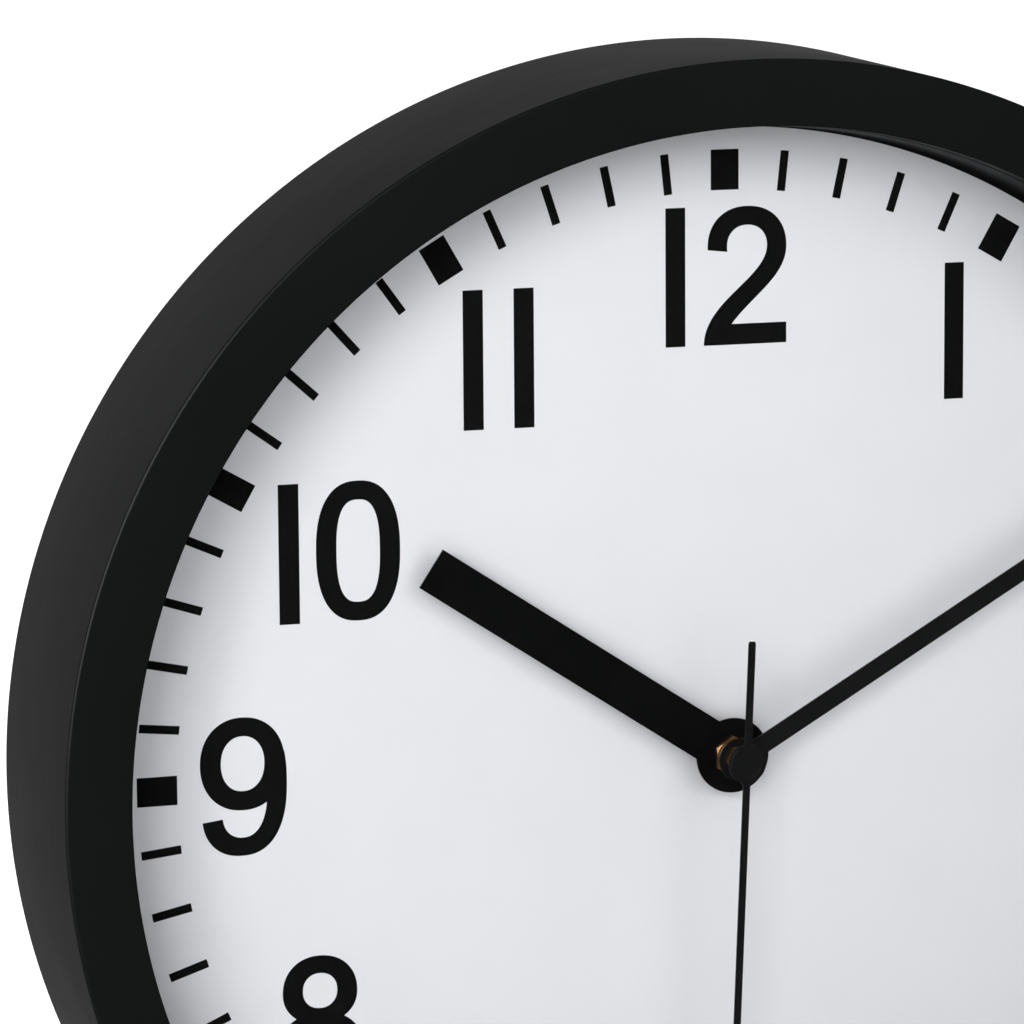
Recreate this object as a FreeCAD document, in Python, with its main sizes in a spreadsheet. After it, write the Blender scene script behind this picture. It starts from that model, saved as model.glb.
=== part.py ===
import FreeCAD, Part
import math
import os

import Sketcher
from FreeCAD import Placement, Rotation, Vector

# Round wall clock: a moulded case with a tapered inner wall, a printed dial, baton hands and
# a battery quartz movement. The clock hangs on a wall that is the plane Y = 0, +Z is up and
# the front faces -Y. The hands' common axis is the Y axis.
# "Standoff" is a distance from the wall plane towards the front, so it equals -Y.
# "Inside" depths of the movement are counted rearwards from its front wall's inner face.

DIMENSIONS = [
    # case
    ("case_depth", 51.5, "wall plane to the face of the front ring"),
    ("front_radius", 144.7, "outer radius at the front face"),
    ("back_radius", 146.0, "outer radius at the wall, after the mould draft"),
    ("window_radius", 131.5, "inner wall at the front face"),
    ("sight_radius", 129.6, "inner wall at the dial"),
    ("case_wall", 2.0, "moulded wall"),
    ("edge_round", 0.7, "radius of the outer front edge"),
    ("lens_setback", 2.6, "front face to the lens"),
    ("lens_thickness", 1.8, ""),
    ("lens_lap", 1.0, "depth of the groove that holds the lens"),
    ("lens_play", 0.2, "radial play of the lens in its groove"),
    # dial and back plate
    ("dial_standoff", 27.2, "printed face of the dial"),
    ("dial_thickness", 0.5, ""),
    ("dial_radius", 134.0, ""),
    ("plate_thickness", 2.0, ""),
    ("plate_radius", 142.0, ""),
    ("plate_rib", 1.4, "stiffening ribs behind the back plate"),
    ("plate_rib_height", 2.2, ""),
    ("plate_rib_start", 50.0, "radius where the straight ribs begin"),
    ("plate_rib_ring", 126.0, "inner radius of the round rib"),
    ("plate_rib_count", 6, "straight ribs, halfway between the screws"),
    ("shaft_hole_radius", 4.15, "hole for the movement's bushing in dial and back plate"),
    ("screw_count", 6, "back plate screws"),
    ("screw_pitch_radius", 138.2, ""),
    ("screw_boss_radius", 3.6, ""),
    ("screw_shank_radius", 1.25, ""),
    ("screw_hole_radius", 1.7, "clearance hole in the back plate"),
    ("screw_head_radius", 3.1, ""),
    ("screw_head_height", 2.0, ""),
    ("screw_grip", 12.0, "shank length"),
    # keyhole hanger, a pocket moulded in the back plate
    ("hanger_height", 99.0, "middle of the pocket above the hands' axis"),
    ("hanger_width", 26.0, ""),
    ("hanger_tall", 32.0, ""),
    ("hanger_gap", 1.5, "standoff of the pocket's rear face"),
    ("keyhole_entry_radius", 4.5, ""),
    ("keyhole_slot_radius", 2.3, ""),
    ("keyhole_drop", 5.0, "entry hole below the middle of the pocket"),
    ("keyhole_rise", 7.0, "slot's end above the middle of the pocket"),
    # movement case
    ("movement_width", 56.0, ""),
    ("movement_top", 22.0, "above the hands' axis"),
    ("movement_bottom", 34.0, "below the hands' axis"),
    ("movement_front", 24.1, "standoff of the movement's front face"),
    ("movement_depth", 16.5, ""),
    ("movement_corner", 2.5, "outer corner radius"),
    ("shell", 1.2, "wall of the movement's case"),
    ("cover_depth", 4.4, "depth of the rear cover"),
    ("latch_width", 6.0, "two latches that hold the cover on the housing"),
    ("latch_thickness", 0.9, ""),
    ("latch_reach", 5.0, "beyond the cover, along the housing's sides"),
    ("latch_height", 4.0, "above the hands' axis"),
    ("bay_height", 15.8, "battery bay"),
    ("seat_rib", 1.4, "rib that keeps the movement square"),
    ("seat_rib_height", 3.0, ""),
    ("seat_play", 0.3, ""),
    ("bridge_inside", 12.2, "inside depth of the train bridge's front face"),
    ("bridge_thickness", 1.0, ""),
    # stack on the hands' axis
    ("bushing_radius", 4.0, "threaded mounting bushing"),
    ("bushing_bore", 3.35, ""),
    ("bushing_flange", 5.2, ""),
    ("bushing_flange_height", 0.6, ""),
    ("bushing_top", 3.0, "in front of the dial"),
    ("rubber_radius", 9.0, ""),
    ("washer_radius", 6.2, ""),
    ("washer_height", 0.4, ""),
    ("mounting_nut_flats", 11.0, ""),
    ("mounting_nut_height", 2.2, ""),
    ("hour_tube_radius", 3.3, ""),
    ("hour_tube_bore", 1.8, ""),
    ("hour_tube_top", 6.2, "in front of the dial"),
    ("minute_shaft_radius", 1.75, ""),
    ("minute_thread_radius", 1.5, ""),
    ("minute_shaft_top", 11.8, "in front of the dial"),
    ("minute_shaft_bore", 0.53, ""),
    ("seconds_arbor_radius", 0.5, ""),
    # hands
    ("hour_hand_level", 4.3, "rear face in front of the dial"),
    ("hour_hand_length", 77.4, ""),
    ("hour_hand_width", 9.1, ""),
    ("hour_eye_radius", 7.84, ""),
    ("hour_hand_angle", 303.58, "clockwise from 12, as hung"),
    ("hex_bushing_flats", 7.5, ""),
    ("hex_bushing_height", 1.2, "hexagon in front of the hour hand"),
    ("hex_bushing_neck", 3.7, "radius of the neck through the hour hand"),
    ("hex_bushing_flange", 4.6, "radius behind the hour hand"),
    ("hex_bushing_flange_height", 0.8, ""),
    ("hex_bushing_turn", 33.0, "direction of one corner, in degrees"),
    ("minute_hand_level", 9.0, "rear face in front of the dial"),
    ("minute_hand_length", 114.0, ""),
    ("minute_hand_width", 3.9, ""),
    ("minute_eye_radius", 4.5, ""),
    ("minute_hand_angle", 60.17, "clockwise from 12, as hung"),
    ("minute_nut_flats", 5.5, ""),
    ("minute_nut_height", 1.9, ""),
    ("second_hand_level", 13.4, "rear face in front of the dial"),
    ("second_hand_length", 112.0, ""),
    ("second_hand_width", 1.55, ""),
    ("second_hand_tail", 25.4, ""),
    ("second_tail_round", 0.45, "corners of the tail's end"),
    ("second_hub_radius", 4.05, ""),
    ("second_neck_width", 2.4, "second hand where it leaves the hub"),
    ("second_neck_start", 3.4, "neck's wide end from the hands' axis"),
    ("second_neck_length", 0.6, "beyond the hub"),
    ("second_hand_angle", 182.36, "clockwise from 12, as hung"),
    ("socket_radius", 0.95, "tube pressed on the seconds arbor"),
    ("socket_height", 1.3, ""),
    ("hand_sheet", 0.5, "sheet of the hour and minute hands"),
    ("second_sheet", 0.4, ""),
    # gear train
    ("fine_module", 0.3, "rotor, intermediate, seconds and third gears"),
    ("works_module", 0.4, "minute works and setting gears"),
    ("rotor_teeth", 12, "pinion"),
    ("intermediate_teeth", 60, ""),
    ("intermediate_pinion_teeth", 10, ""),
    ("seconds_teeth", 60, ""),
    ("seconds_pinion_teeth", 8, ""),
    ("third_teeth", 60, ""),
    ("third_pinion_teeth", 8, ""),
    ("centre_teeth", 64, ""),
    ("centre_pinion_teeth", 12, ""),
    ("works_teeth", 36, ""),
    ("works_pinion_teeth", 10, ""),
    ("hour_teeth", 40, ""),
    ("set_teeth", 12, "pinion of the set knob"),
    ("arbor_radius", 0.4, "small arbors"),
    ("pivot_play", 0.05, "radial clearance of arbors in plastic"),
    ("pivot_depth", 0.8, "blind bearing holes in the front wall"),
    ("works_post_radius", 1.0, "post that carries the minute works wheel"),
    ("works_post_height", 4.0, ""),
    ("pillar_radius", 1.5, "pillars under the train bridge"),
    ("board_post_radius", 1.2, "posts under the circuit board"),
    ("stator_post_radius", 0.9, "posts under the stator"),
    ("bridge_margin", 0.4, "gap between the train bridge and the walls"),
    ("set_shaft_radius", 1.5, ""),
    ("knob_radius", 4.5, ""),
    ("knob_height", 3.0, ""),
    ("knob_gap", 0.3, "between the knob and the cover"),
    ("knob_grooves", 24, ""),
    ("knob_groove_radius", 0.3, ""),
    # stepping motor
    ("rotor_radius", 2.9, "magnet"),
    ("rotor_length", 3.0, ""),
    ("rotor_gap", 0.5, "air gap to the stator"),
    ("stator_inside", 8.0, "inside depth of the stator's front face"),
    ("stator_thickness", 0.8, ""),
    ("coil_radius", 3.0, ""),
    ("coil_flange_radius", 3.4, ""),
    ("coil_height", 16.8, "coil axis above the hands' axis"),
    ("core_width", 2.4, ""),
    ("stator_left", 26.4, "left edge, left of the hands' axis"),
    ("stator_right", 9.2, "right edge, left of the hands' axis"),
    ("stator_bottom", 4.8, "lower edge above the hands' axis"),
    ("stator_window", 11.8, "lower edge of the coil's window"),
    ("stator_leg", 1.6, ""),
    ("spool_play", 0.2, "gap between the bobbin and the stator's left leg"),
    ("spool_cheek", 0.8, ""),
    ("spool_tube_radius", 1.8, ""),
    ("spool_bore_radius", 1.35, ""),
    # circuit board
    ("board_left", 11.2, "right of the hands' axis"),
    ("board_right", 25.7, ""),
    ("board_bottom", 8.4, "above the hands' axis"),
    ("board_top", 16.4, ""),
    ("board_inside", 6.0, "inside depth of the board's front face"),
    ("board_thickness", 0.8, ""),
    ("chip_radius", 2.4, "drop of epoxy over the chip"),
    ("chip_height", 1.1, ""),
    ("chip_across", 20.8, ""),
    ("chip_up", 11.3, ""),
    ("crystal_radius", 1.0, ""),
    ("crystal_length", 6.0, ""),
    ("crystal_across", 12.6, ""),
    ("crystal_up", 14.6, ""),
    # battery, size AA
    ("battery_radius", 7.1, ""),
    ("battery_length", 49.3, ""),
    ("nub_radius", 2.75, ""),
    ("nub_length", 1.0, ""),
    ("battery_depth", 15.5, "standoff of the battery's axis"),
    ("nub_play", 0.2, "between the battery's nub and its contact"),
    ("spring_wire", 0.35, "wire radius"),
    ("spring_turns", 2.5, ""),
    ("spring_big_radius", 4.6, "coil at the bay's wall"),
    ("spring_small_radius", 2.6, "coil at the battery"),
    ("spring_play", 0.1, "between the spring and the battery"),
    ("contact_sheet", 0.3, ""),
    ("contact_side", 10.0, "side of the square contact plates"),
]

# Inside depths of the rear and front faces of each layer of the gear train.
LAYERS = {
    "hour_wheel": (1.7, 0.5),
    "works_pinion": (2.2, 0.3),
    "works_wheel": (3.4, 2.2),
    "set_pinion": (3.7, 1.9),
    "centre_pinion": (4.4, 1.9),
    "centre_wheel": (5.4, 4.4),
    "third_pinion": (6.4, 4.2),
    "third_wheel": (7.4, 6.4),
    "seconds_pinion": (7.8, 6.0),
    "seconds_collar": (8.6, 7.8),
    "seconds_wheel": (9.6, 8.6),
    "intermediate_pinion": (10.6, 8.3),
    "intermediate_wheel": (11.6, 10.6),
    "rotor_pinion": (11.9, 10.2),
}
for layer, (rear, front) in LAYERS.items():
    DIMENSIONS.append((f"{layer}_rear", rear, "inside depth of the rear face"))
    DIMENSIONS.append((f"{layer}_face", front, "inside depth of the front face"))

doc = FreeCAD.newDocument("wall_clock")
sheet = doc.addObject("Spreadsheet::Sheet", "Dims")
for row, (alias, number, note) in enumerate(DIMENSIONS, start=1):
    sheet.set(f"A{row}", alias)
    sheet.set(f"B{row}", str(number))
    sheet.setAlias(f"B{row}", alias)
    sheet.set(f"C{row}", note)
doc.recompute()


class Size:
    """A length that knows its number and the spreadsheet expression it comes from."""

    def __init__(self, number, text):
        self.number = float(number)
        self.text = text

    def __add__(self, other):
        other = as_size(other)
        return Size(self.number + other.number, f"({self.text} + {other.text})")

    def __sub__(self, other):
        other = as_size(other)
        return Size(self.number - other.number, f"({self.text} - {other.text})")

    def __mul__(self, other):
        other = as_size(other)
        return Size(self.number * other.number, f"({self.text} * {other.text})")

    def __truediv__(self, other):
        other = as_size(other)
        return Size(self.number / other.number, f"({self.text} / {other.text})")

    def __neg__(self):
        return as_size(0) - self


def as_size(value):
    return value if isinstance(value, Size) else Size(value, repr(float(value)))


def whole(size):
    return int(size.number)


class Cells:
    """dims.case_depth is the Size of that cell."""

    def __getattr__(self, alias):
        return Size(sheet.get(alias), f"Dims.{alias}")


dims = Cells()
SUBPARTS = []


# ---------------------------------------------------------------- building blocks

def subpart(thing, label):
    """Names an object as one physical piece of the clock."""
    thing.Label = label
    SUBPARTS.append(thing)
    return thing


def bind(thing, prop, size):
    """Sets a property to a Size and ties it to the spreadsheet."""
    thing.setExpression(prop, as_size(size).text)


FRONTWARD = Rotation(Vector(1, 0, 0), 90)  # local Z points to the front, local Y stays up


def stand(thing, standoff, across=0, up=0):
    """Puts a piece that was built along local Z at a standoff, growing to the front."""
    across, up, standoff = as_size(across), as_size(up), as_size(standoff)
    thing.Placement = Placement(Vector(across.number, -standoff.number, up.number), FRONTWARD)
    bind(thing, "Placement.Base.x", across)
    bind(thing, "Placement.Base.y", -standoff)
    bind(thing, "Placement.Base.z", up)
    return thing


def cylinder(name, radius, height, standoff=None, across=0, up=0):
    thing = doc.addObject("Part::Cylinder", name)
    bind(thing, "Radius", radius)
    bind(thing, "Height", height)
    if standoff is not None:
        stand(thing, standoff, across, up)
    return thing


def prism(name, flats, height):
    """Hexagonal bar with the given width across flats."""
    thing = doc.addObject("Part::Prism", name)
    thing.Polygon = 6
    bind(thing, "Circumradius", flats / math.sqrt(3))
    bind(thing, "Height", height)
    return thing


def cut(name, base, tool):
    thing = doc.addObject("Part::Cut", name)
    thing.Base = base
    thing.Tool = tool
    return thing


def ring(label, outer, inner, height, standoff):
    """Flat ring or tube around the hands' axis."""
    base = cylinder(f"{label}_outside", outer, height)
    hole = cylinder(f"{label}_hole", inner, height)
    return subpart(stand(cut(label, base, hole), standoff), label)


def plane_of(body, role):
    return next(f for f in body.Origin.OriginFeatures if f.Role == role)


def new_sketch(body, name, role, standoff=0):
    sketch = body.newObject("Sketcher::SketchObject", name)
    sketch.AttachmentSupport = [(plane_of(body, role), "")]
    sketch.MapMode = "FlatFace"
    bind(sketch, "AttachmentOffset.Base.z", standoff)
    return sketch


def pin_down(sketch, geometry, point, across, up):
    """Ties one sketch point to the spreadsheet by its two distances from the origin."""
    for kind, size in (("DistanceX", as_size(across)), ("DistanceY", as_size(up))):
        index = sketch.addConstraint(Sketcher.Constraint(kind, -1, 1, geometry, point, size.number))
        bind(sketch, f"Constraints[{index}]", size)


def add_polygon(sketch, corners):
    corners = [(as_size(across), as_size(up)) for across, up in corners]
    first = sketch.GeometryCount
    count = len(corners)
    for i, (across, up) in enumerate(corners):
        next_across, next_up = corners[(i + 1) % count]
        start = Vector(across.number, up.number, 0)
        end = Vector(next_across.number, next_up.number, 0)
        sketch.addGeometry(Part.LineSegment(start, end), False)
    for i in range(count):
        following = first + (i + 1) % count
        sketch.addConstraint(Sketcher.Constraint("Coincident", first + i, 2, following, 1))
    for i, (across, up) in enumerate(corners):
        pin_down(sketch, first + i, 1, across, up)


def add_circle(sketch, across, up, radius):
    across, up, radius = as_size(across), as_size(up), as_size(radius)
    centre = Vector(across.number, up.number, 0)
    index = sketch.addGeometry(Part.Circle(centre, Vector(0, 0, 1), radius.number), False)
    pin_down(sketch, index, 3, across, up)
    constraint = sketch.addConstraint(Sketcher.Constraint("Radius", index, radius.number))
    bind(sketch, f"Constraints[{constraint}]", radius)


def rectangle(left, right, bottom, top):
    return [(left, bottom), (right, bottom), (right, top), (left, top)]


def new_body(label):
    return subpart(doc.addObject("PartDesign::Body", label), label)


def pad(body, name, standoff, length, circles=(), polygons=()):
    """Adds material from a standoff towards the front."""
    sketch = new_sketch(body, f"{name}_outline", "XZ_Plane", standoff)
    for corners in polygons:
        add_polygon(sketch, corners)
    for circle in circles:
        add_circle(sketch, *circle)
    feature = body.newObject("PartDesign::Pad", name)
    feature.Profile = sketch
    bind(feature, "Length", length)
    return feature


def pocket(body, name, standoff, depth, circles=(), polygons=()):
    """Removes material from a standoff towards the wall."""
    sketch = new_sketch(body, f"{name}_outline", "XZ_Plane", standoff)
    for corners in polygons:
        add_polygon(sketch, corners)
    for circle in circles:
        add_circle(sketch, *circle)
    feature = body.newObject("PartDesign::Pocket", name)
    feature.Profile = sketch
    bind(feature, "Length", depth)
    return feature


def turn(body, name, kind, corners):
    """Revolution or Groove of a (radius, y) outline about the hands' axis."""
    sketch = new_sketch(body, f"{name}_outline", "XY_Plane")
    add_polygon(sketch, corners)
    feature = body.newObject(kind, name)
    feature.Profile = sketch
    feature.ReferenceAxis = (sketch, ["V_Axis"])
    feature.Angle = 360
    return feature


def repeat_around(body, name, feature):
    """Repeats a feature once for each back plate screw."""
    pattern = body.newObject("PartDesign::PolarPattern", name)
    pattern.Originals = [feature]
    pattern.Axis = (plane_of(body, "Y_Axis"), [""])
    pattern.Angle = 360
    bind(pattern, "Occurrences", dims.screw_count)
    body.Tip = pattern
    return pattern


def round_edges(body, name, base, radius, wanted):
    """Rounds the edges of a feature that the test picks."""
    doc.recompute()
    picked = [f"Edge{i}" for i, edge in enumerate(base.Shape.Edges, start=1) if wanted(edge)]
    feature = body.newObject("PartDesign::Fillet", name)
    feature.Base = (base, picked)
    bind(feature, "Radius", radius)
    body.Tip = feature
    return feature


# ---------------------------------------------------------------- derived sizes

dial_back = dims.dial_standoff - dims.dial_thickness
plate_back = dial_back - dims.plate_thickness
inside_face = dims.movement_front - dims.shell
movement_back = dims.movement_front - dims.movement_depth
half_width = dims.movement_width / 2
chamber_half = half_width - dims.shell
bay_floor = -(dims.movement_bottom - dims.shell)
bay_ceiling = bay_floor + dims.bay_height
partition = bay_ceiling + dims.shell / 2
chamber_floor = bay_ceiling + dims.shell
chamber_top = dims.movement_top - dims.shell
works_distance = dims.works_module * (dims.centre_pinion_teeth + dims.works_teeth) / 2
set_distance = dims.works_module * (dims.works_teeth + dims.set_teeth) / 2
third_distance = dims.fine_module * (dims.seconds_pinion_teeth + dims.third_teeth) / 2
intermediate_distance = dims.fine_module * (dims.intermediate_pinion_teeth + dims.seconds_teeth) / 2
rotor_distance = dims.fine_module * (dims.rotor_teeth + dims.intermediate_teeth) / 2
third_pinion_module = third_distance * 2 / (dims.third_pinion_teeth + dims.centre_teeth)
works_pinion_module = works_distance * 2 / (dims.works_pinion_teeth + dims.hour_teeth)


def polar(origin, distance, degrees):
    """Point at a distance from another, measured anticlockwise from +X as seen from the front."""
    across, up = origin
    turn_to = math.radians(degrees)
    return (as_size(across) + distance * math.cos(turn_to), as_size(up) + distance * math.sin(turn_to))


CENTRE = (as_size(0), as_size(0))
WORKS_DIRECTION = 0
SET_DIRECTION = -40
THIRD_DIRECTION = 90
INTERMEDIATE_DIRECTION = 180
ROTOR_DIRECTION = 130
works_axis = polar(CENTRE, works_distance, WORKS_DIRECTION)
set_axis = polar(works_axis, set_distance, SET_DIRECTION)
third_axis = polar(CENTRE, third_distance, THIRD_DIRECTION)
intermediate_axis = polar(CENTRE, intermediate_distance, INTERMEDIATE_DIRECTION)
rotor_axis = polar(intermediate_axis, rotor_distance, ROTOR_DIRECTION)
PILLARS = [(24.5, 18.5), (24.5, -13.0), (-24.5, -13.0), (-7.5, 19.0)]
BOARD_POSTS = [(13.5, 10.5), (23.5, 14.0)]
STATOR_POSTS = [(-25.3, 8.3), (-10.0, 12.6)]


# ---------------------------------------------------------------- case, lens, dial, back plate

def build_case_rim():
    body = new_body("case_rim")
    under_ring = -(dims.case_depth - dims.case_wall)
    turn(body, "case_shell", "PartDesign::Revolution", [
        (dims.window_radius, -dims.case_depth),
        (dims.front_radius, -dims.case_depth),
        (dims.back_radius, 0),
        (dims.back_radius - dims.case_wall, 0),
        (dims.front_radius - dims.case_wall, under_ring),
        (dims.window_radius + dims.case_wall, under_ring),
        (dims.sight_radius + dims.case_wall, -dims.dial_standoff),
        (dims.sight_radius, -dims.dial_standoff),
    ])
    lens_front = -(dims.case_depth - dims.lens_setback)
    turn(body, "lens_groove", "PartDesign::Groove", [
        (dims.sight_radius - 1, lens_front),
        (dims.window_radius + dims.lens_lap, lens_front),
        (dims.window_radius + dims.lens_lap, lens_front + dims.lens_thickness),
        (dims.sight_radius - 1, lens_front + dims.lens_thickness),
    ])
    boss_length = dims.case_depth - dims.case_wall - dial_back
    boss = pad(body, "screw_boss", dial_back, boss_length, circles=[
        (0, dims.screw_pitch_radius, dims.screw_boss_radius),
        (0, dims.screw_pitch_radius, dims.screw_shank_radius),
    ])
    bosses = repeat_around(body, "screw_bosses", boss)
    outer = dims.front_radius.number
    depth = dims.case_depth.number

    def outer_front_edge(edge):
        box = edge.BoundBox
        return abs(box.YMax + depth) < 1e-3 and abs(box.XMax - outer) < 1e-3

    round_edges(body, "front_edge_round", bosses, dims.edge_round, outer_front_edge)


def build_lens():
    lens = cylinder("lens", dims.window_radius + dims.lens_lap - dims.lens_play, dims.lens_thickness)
    stand(lens, dims.case_depth - dims.lens_setback - dims.lens_thickness)
    subpart(lens, "lens")


def rib_outline(degrees):
    """Straight rib along a radius, its direction measured clockwise from 12."""
    half = dims.plate_rib / 2
    turn_to = math.radians(degrees)
    cos, sin = math.cos(turn_to), math.sin(turn_to)
    corners = rectangle(-half, half, dims.plate_rib_start, dims.plate_rib_ring + half)
    return [(across * cos + along * sin, along * cos - across * sin) for across, along in corners]


def build_back_plate():
    body = new_body("back_plate")
    pad(body, "plate_disc", plate_back, dims.plate_thickness, circles=[
        (0, 0, dims.plate_radius),
        (0, 0, dims.shaft_hole_radius),
    ])
    ribs_back = plate_back - dims.plate_rib_height
    pad(body, "round_rib", ribs_back, dims.plate_rib_height, circles=[
        (0, 0, dims.plate_rib_ring + dims.plate_rib),
        (0, 0, dims.plate_rib_ring),
    ])
    count = whole(dims.plate_rib_count)
    for i in range(count):
        pad(body, f"straight_rib_{i + 1}", ribs_back, dims.plate_rib_height,
            polygons=[rib_outline(360 / count * (i + 0.5))])
    rib_inner = half_width + dims.seat_play
    rib_outer = rib_inner + dims.seat_rib
    rib_back = plate_back - dims.seat_rib_height
    pad(body, "movement_seat", rib_back, dims.seat_rib_height, polygons=[
        rectangle(-rib_outer, rib_outer,
                  -(dims.movement_bottom + dims.seat_play + dims.seat_rib),
                  dims.movement_top + dims.seat_play + dims.seat_rib),
        rectangle(-rib_inner, rib_inner,
                  -(dims.movement_bottom + dims.seat_play),
                  dims.movement_top + dims.seat_play),
    ])
    half = dims.hanger_width / 2
    low = dims.hanger_height - dims.hanger_tall / 2
    high = dims.hanger_height + dims.hanger_tall / 2
    pad(body, "hanger_box", dims.hanger_gap, plate_back - dims.hanger_gap,
        polygons=[rectangle(-half, half, low, high)])
    wall = dims.plate_thickness
    floor = dims.hanger_gap + wall
    pocket(body, "hanger_pocket", dial_back, dial_back - floor,
           polygons=[rectangle(-half + wall, half - wall, low + wall, high - wall)])
    entry_height = dims.hanger_height - dims.keyhole_drop
    slot_height = dims.hanger_height + dims.keyhole_rise
    slot = dims.keyhole_slot_radius
    pocket(body, "keyhole_entry", floor, wall,
           circles=[(0, entry_height, dims.keyhole_entry_radius)])
    pocket(body, "keyhole_slot", floor, wall,
           polygons=[rectangle(-slot, slot, entry_height, slot_height)])
    pocket(body, "keyhole_end", floor, wall, circles=[(0, slot_height, slot)])
    hole = pocket(body, "screw_hole", dial_back, dims.plate_thickness,
                  circles=[(0, dims.screw_pitch_radius, dims.screw_hole_radius)])
    repeat_around(body, "screw_holes", hole)


def screw_solid():
    """Pan head self-tapping screw along local Z, head at the bottom, shank upwards."""
    head_radius = dims.screw_head_radius.number
    head_height = dims.screw_head_height.number
    head = Part.makeCylinder(head_radius, head_height)
    rim = [edge for edge in head.Edges if edge.BoundBox.ZMax < 1e-6]
    head = head.makeFillet(head_height * 0.55, rim)
    shank = Part.makeCylinder(dims.screw_shank_radius.number, dims.screw_grip.number)
    shank.translate(Vector(0, 0, head_height))
    screw = head.fuse(shank).removeSplitter()
    slot_length = head_radius * 1.1
    slot_width = head_radius * 0.25
    for size in ((slot_length, slot_width), (slot_width, slot_length)):
        slot = Part.makeBox(size[0], size[1], head_height * 0.5)
        slot.translate(Vector(-size[0] / 2, -size[1] / 2, 0))
        screw = screw.cut(slot)
    return screw


def build_screws():
    count = whole(dims.screw_count)
    screw = screw_solid()
    screw.translate(Vector(0, dims.screw_pitch_radius.number, 0))
    copies = []
    for i in range(count):
        copy = screw.copy()
        copy.rotate(Vector(0, 0, 0), Vector(0, 0, 1), 360 / count * i)
        copies.append(copy)
    screws = doc.addObject("Part::Feature", "back_plate_screws")
    screws.Shape = Part.makeCompound(copies)
    stand(screws, plate_back - dims.screw_head_height)
    subpart(screws, "back_plate_screws")


# ---------------------------------------------------------------- movement case

def build_movement_housing():
    body = new_body("movement_housing")
    block = pad(body, "block", movement_back, dims.movement_depth, polygons=[
        rectangle(-half_width, half_width, -dims.movement_bottom, dims.movement_top)])
    side = half_width.number

    def outer_corner(edge):
        box = edge.BoundBox
        return box.YLength > 1 and box.XLength < 1e-6 and abs(abs(box.XMax) - side) < 1e-3

    round_edges(body, "block_corners", block, dims.movement_corner, outer_corner)
    deep = dims.movement_depth - dims.shell
    pocket(body, "gear_chamber", inside_face, deep, polygons=[
        rectangle(-chamber_half, chamber_half, chamber_floor, chamber_top)])
    pocket(body, "battery_bay", inside_face, deep, polygons=[
        rectangle(-chamber_half, chamber_half, bay_floor, bay_ceiling)])
    pocket(body, "cover_seat", movement_back + dims.cover_depth, dims.cover_depth, polygons=[
        rectangle(-half_width - 1, half_width + 1, partition, dims.movement_top + 1)])
    flange_seat = inside_face + dims.bushing_flange_height
    pocket(body, "bushing_hole", dims.movement_front, dims.shell,
           circles=[(0, 0, dims.bushing_radius)])
    pocket(body, "bushing_flange_seat", flange_seat, dims.bushing_flange_height,
           circles=[(0, 0, dims.bushing_flange)])
    bearing = dims.arbor_radius + dims.pivot_play
    pocket(body, "front_bearings", inside_face + dims.pivot_depth, dims.pivot_depth, circles=[
        (*third_axis, bearing),
        (*intermediate_axis, bearing),
        (*rotor_axis, bearing),
        (*set_axis, dims.arbor_radius * 2 + dims.pivot_play),
    ])
    pad(body, "works_post", inside_face - dims.works_post_height, dims.works_post_height,
        circles=[(*works_axis, dims.works_post_radius)])
    pad(body, "bridge_pillars", inside_face - dims.bridge_inside, dims.bridge_inside,
        circles=[(across, up, dims.pillar_radius) for across, up in PILLARS])
    pad(body, "board_posts", inside_face - dims.board_inside, dims.board_inside,
        circles=[(across, up, dims.board_post_radius) for across, up in BOARD_POSTS])
    pad(body, "stator_posts", inside_face - dims.stator_inside, dims.stator_inside,
        circles=[(across, up, dims.stator_post_radius) for across, up in STATOR_POSTS])


def build_movement_cover():
    body = new_body("movement_cover")
    pad(body, "tray", movement_back, dims.cover_depth, polygons=[
        rectangle(-half_width, half_width, partition, dims.movement_top)])
    reach = half_width + dims.latch_thickness
    low = dims.latch_height - dims.latch_width / 2
    high = dims.latch_height + dims.latch_width / 2
    pad(body, "latches", movement_back, dims.cover_depth + dims.latch_reach, polygons=[
        rectangle(half_width, reach, low, high),
        rectangle(-reach, -half_width, low, high),
    ])
    inner = dims.cover_depth - dims.shell
    pocket(body, "tray_hollow", movement_back + dims.cover_depth, inner, polygons=[
        rectangle(-chamber_half, chamber_half, partition + dims.shell, chamber_top)])
    pocket(body, "knob_hole", movement_back + dims.shell, dims.shell,
           circles=[(*set_axis, dims.set_shaft_radius + dims.pivot_play * 2)])


def build_train_bridge():
    body = new_body("train_bridge")
    bearing = dims.arbor_radius + dims.pivot_play
    standoff = inside_face - dims.bridge_inside - dims.bridge_thickness
    margin = dims.bridge_margin
    pad(body, "bridge_plate", standoff, dims.bridge_thickness, polygons=[
        rectangle(-chamber_half + margin, chamber_half - margin,
                  partition + dims.shell + margin, chamber_top - margin)],
        circles=[
            (0, 0, dims.seconds_arbor_radius + dims.pivot_play),
            (*third_axis, bearing),
            (*intermediate_axis, bearing),
            (*rotor_axis, bearing),
            (*set_axis, dims.set_shaft_radius + dims.pivot_play),
        ])


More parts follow.
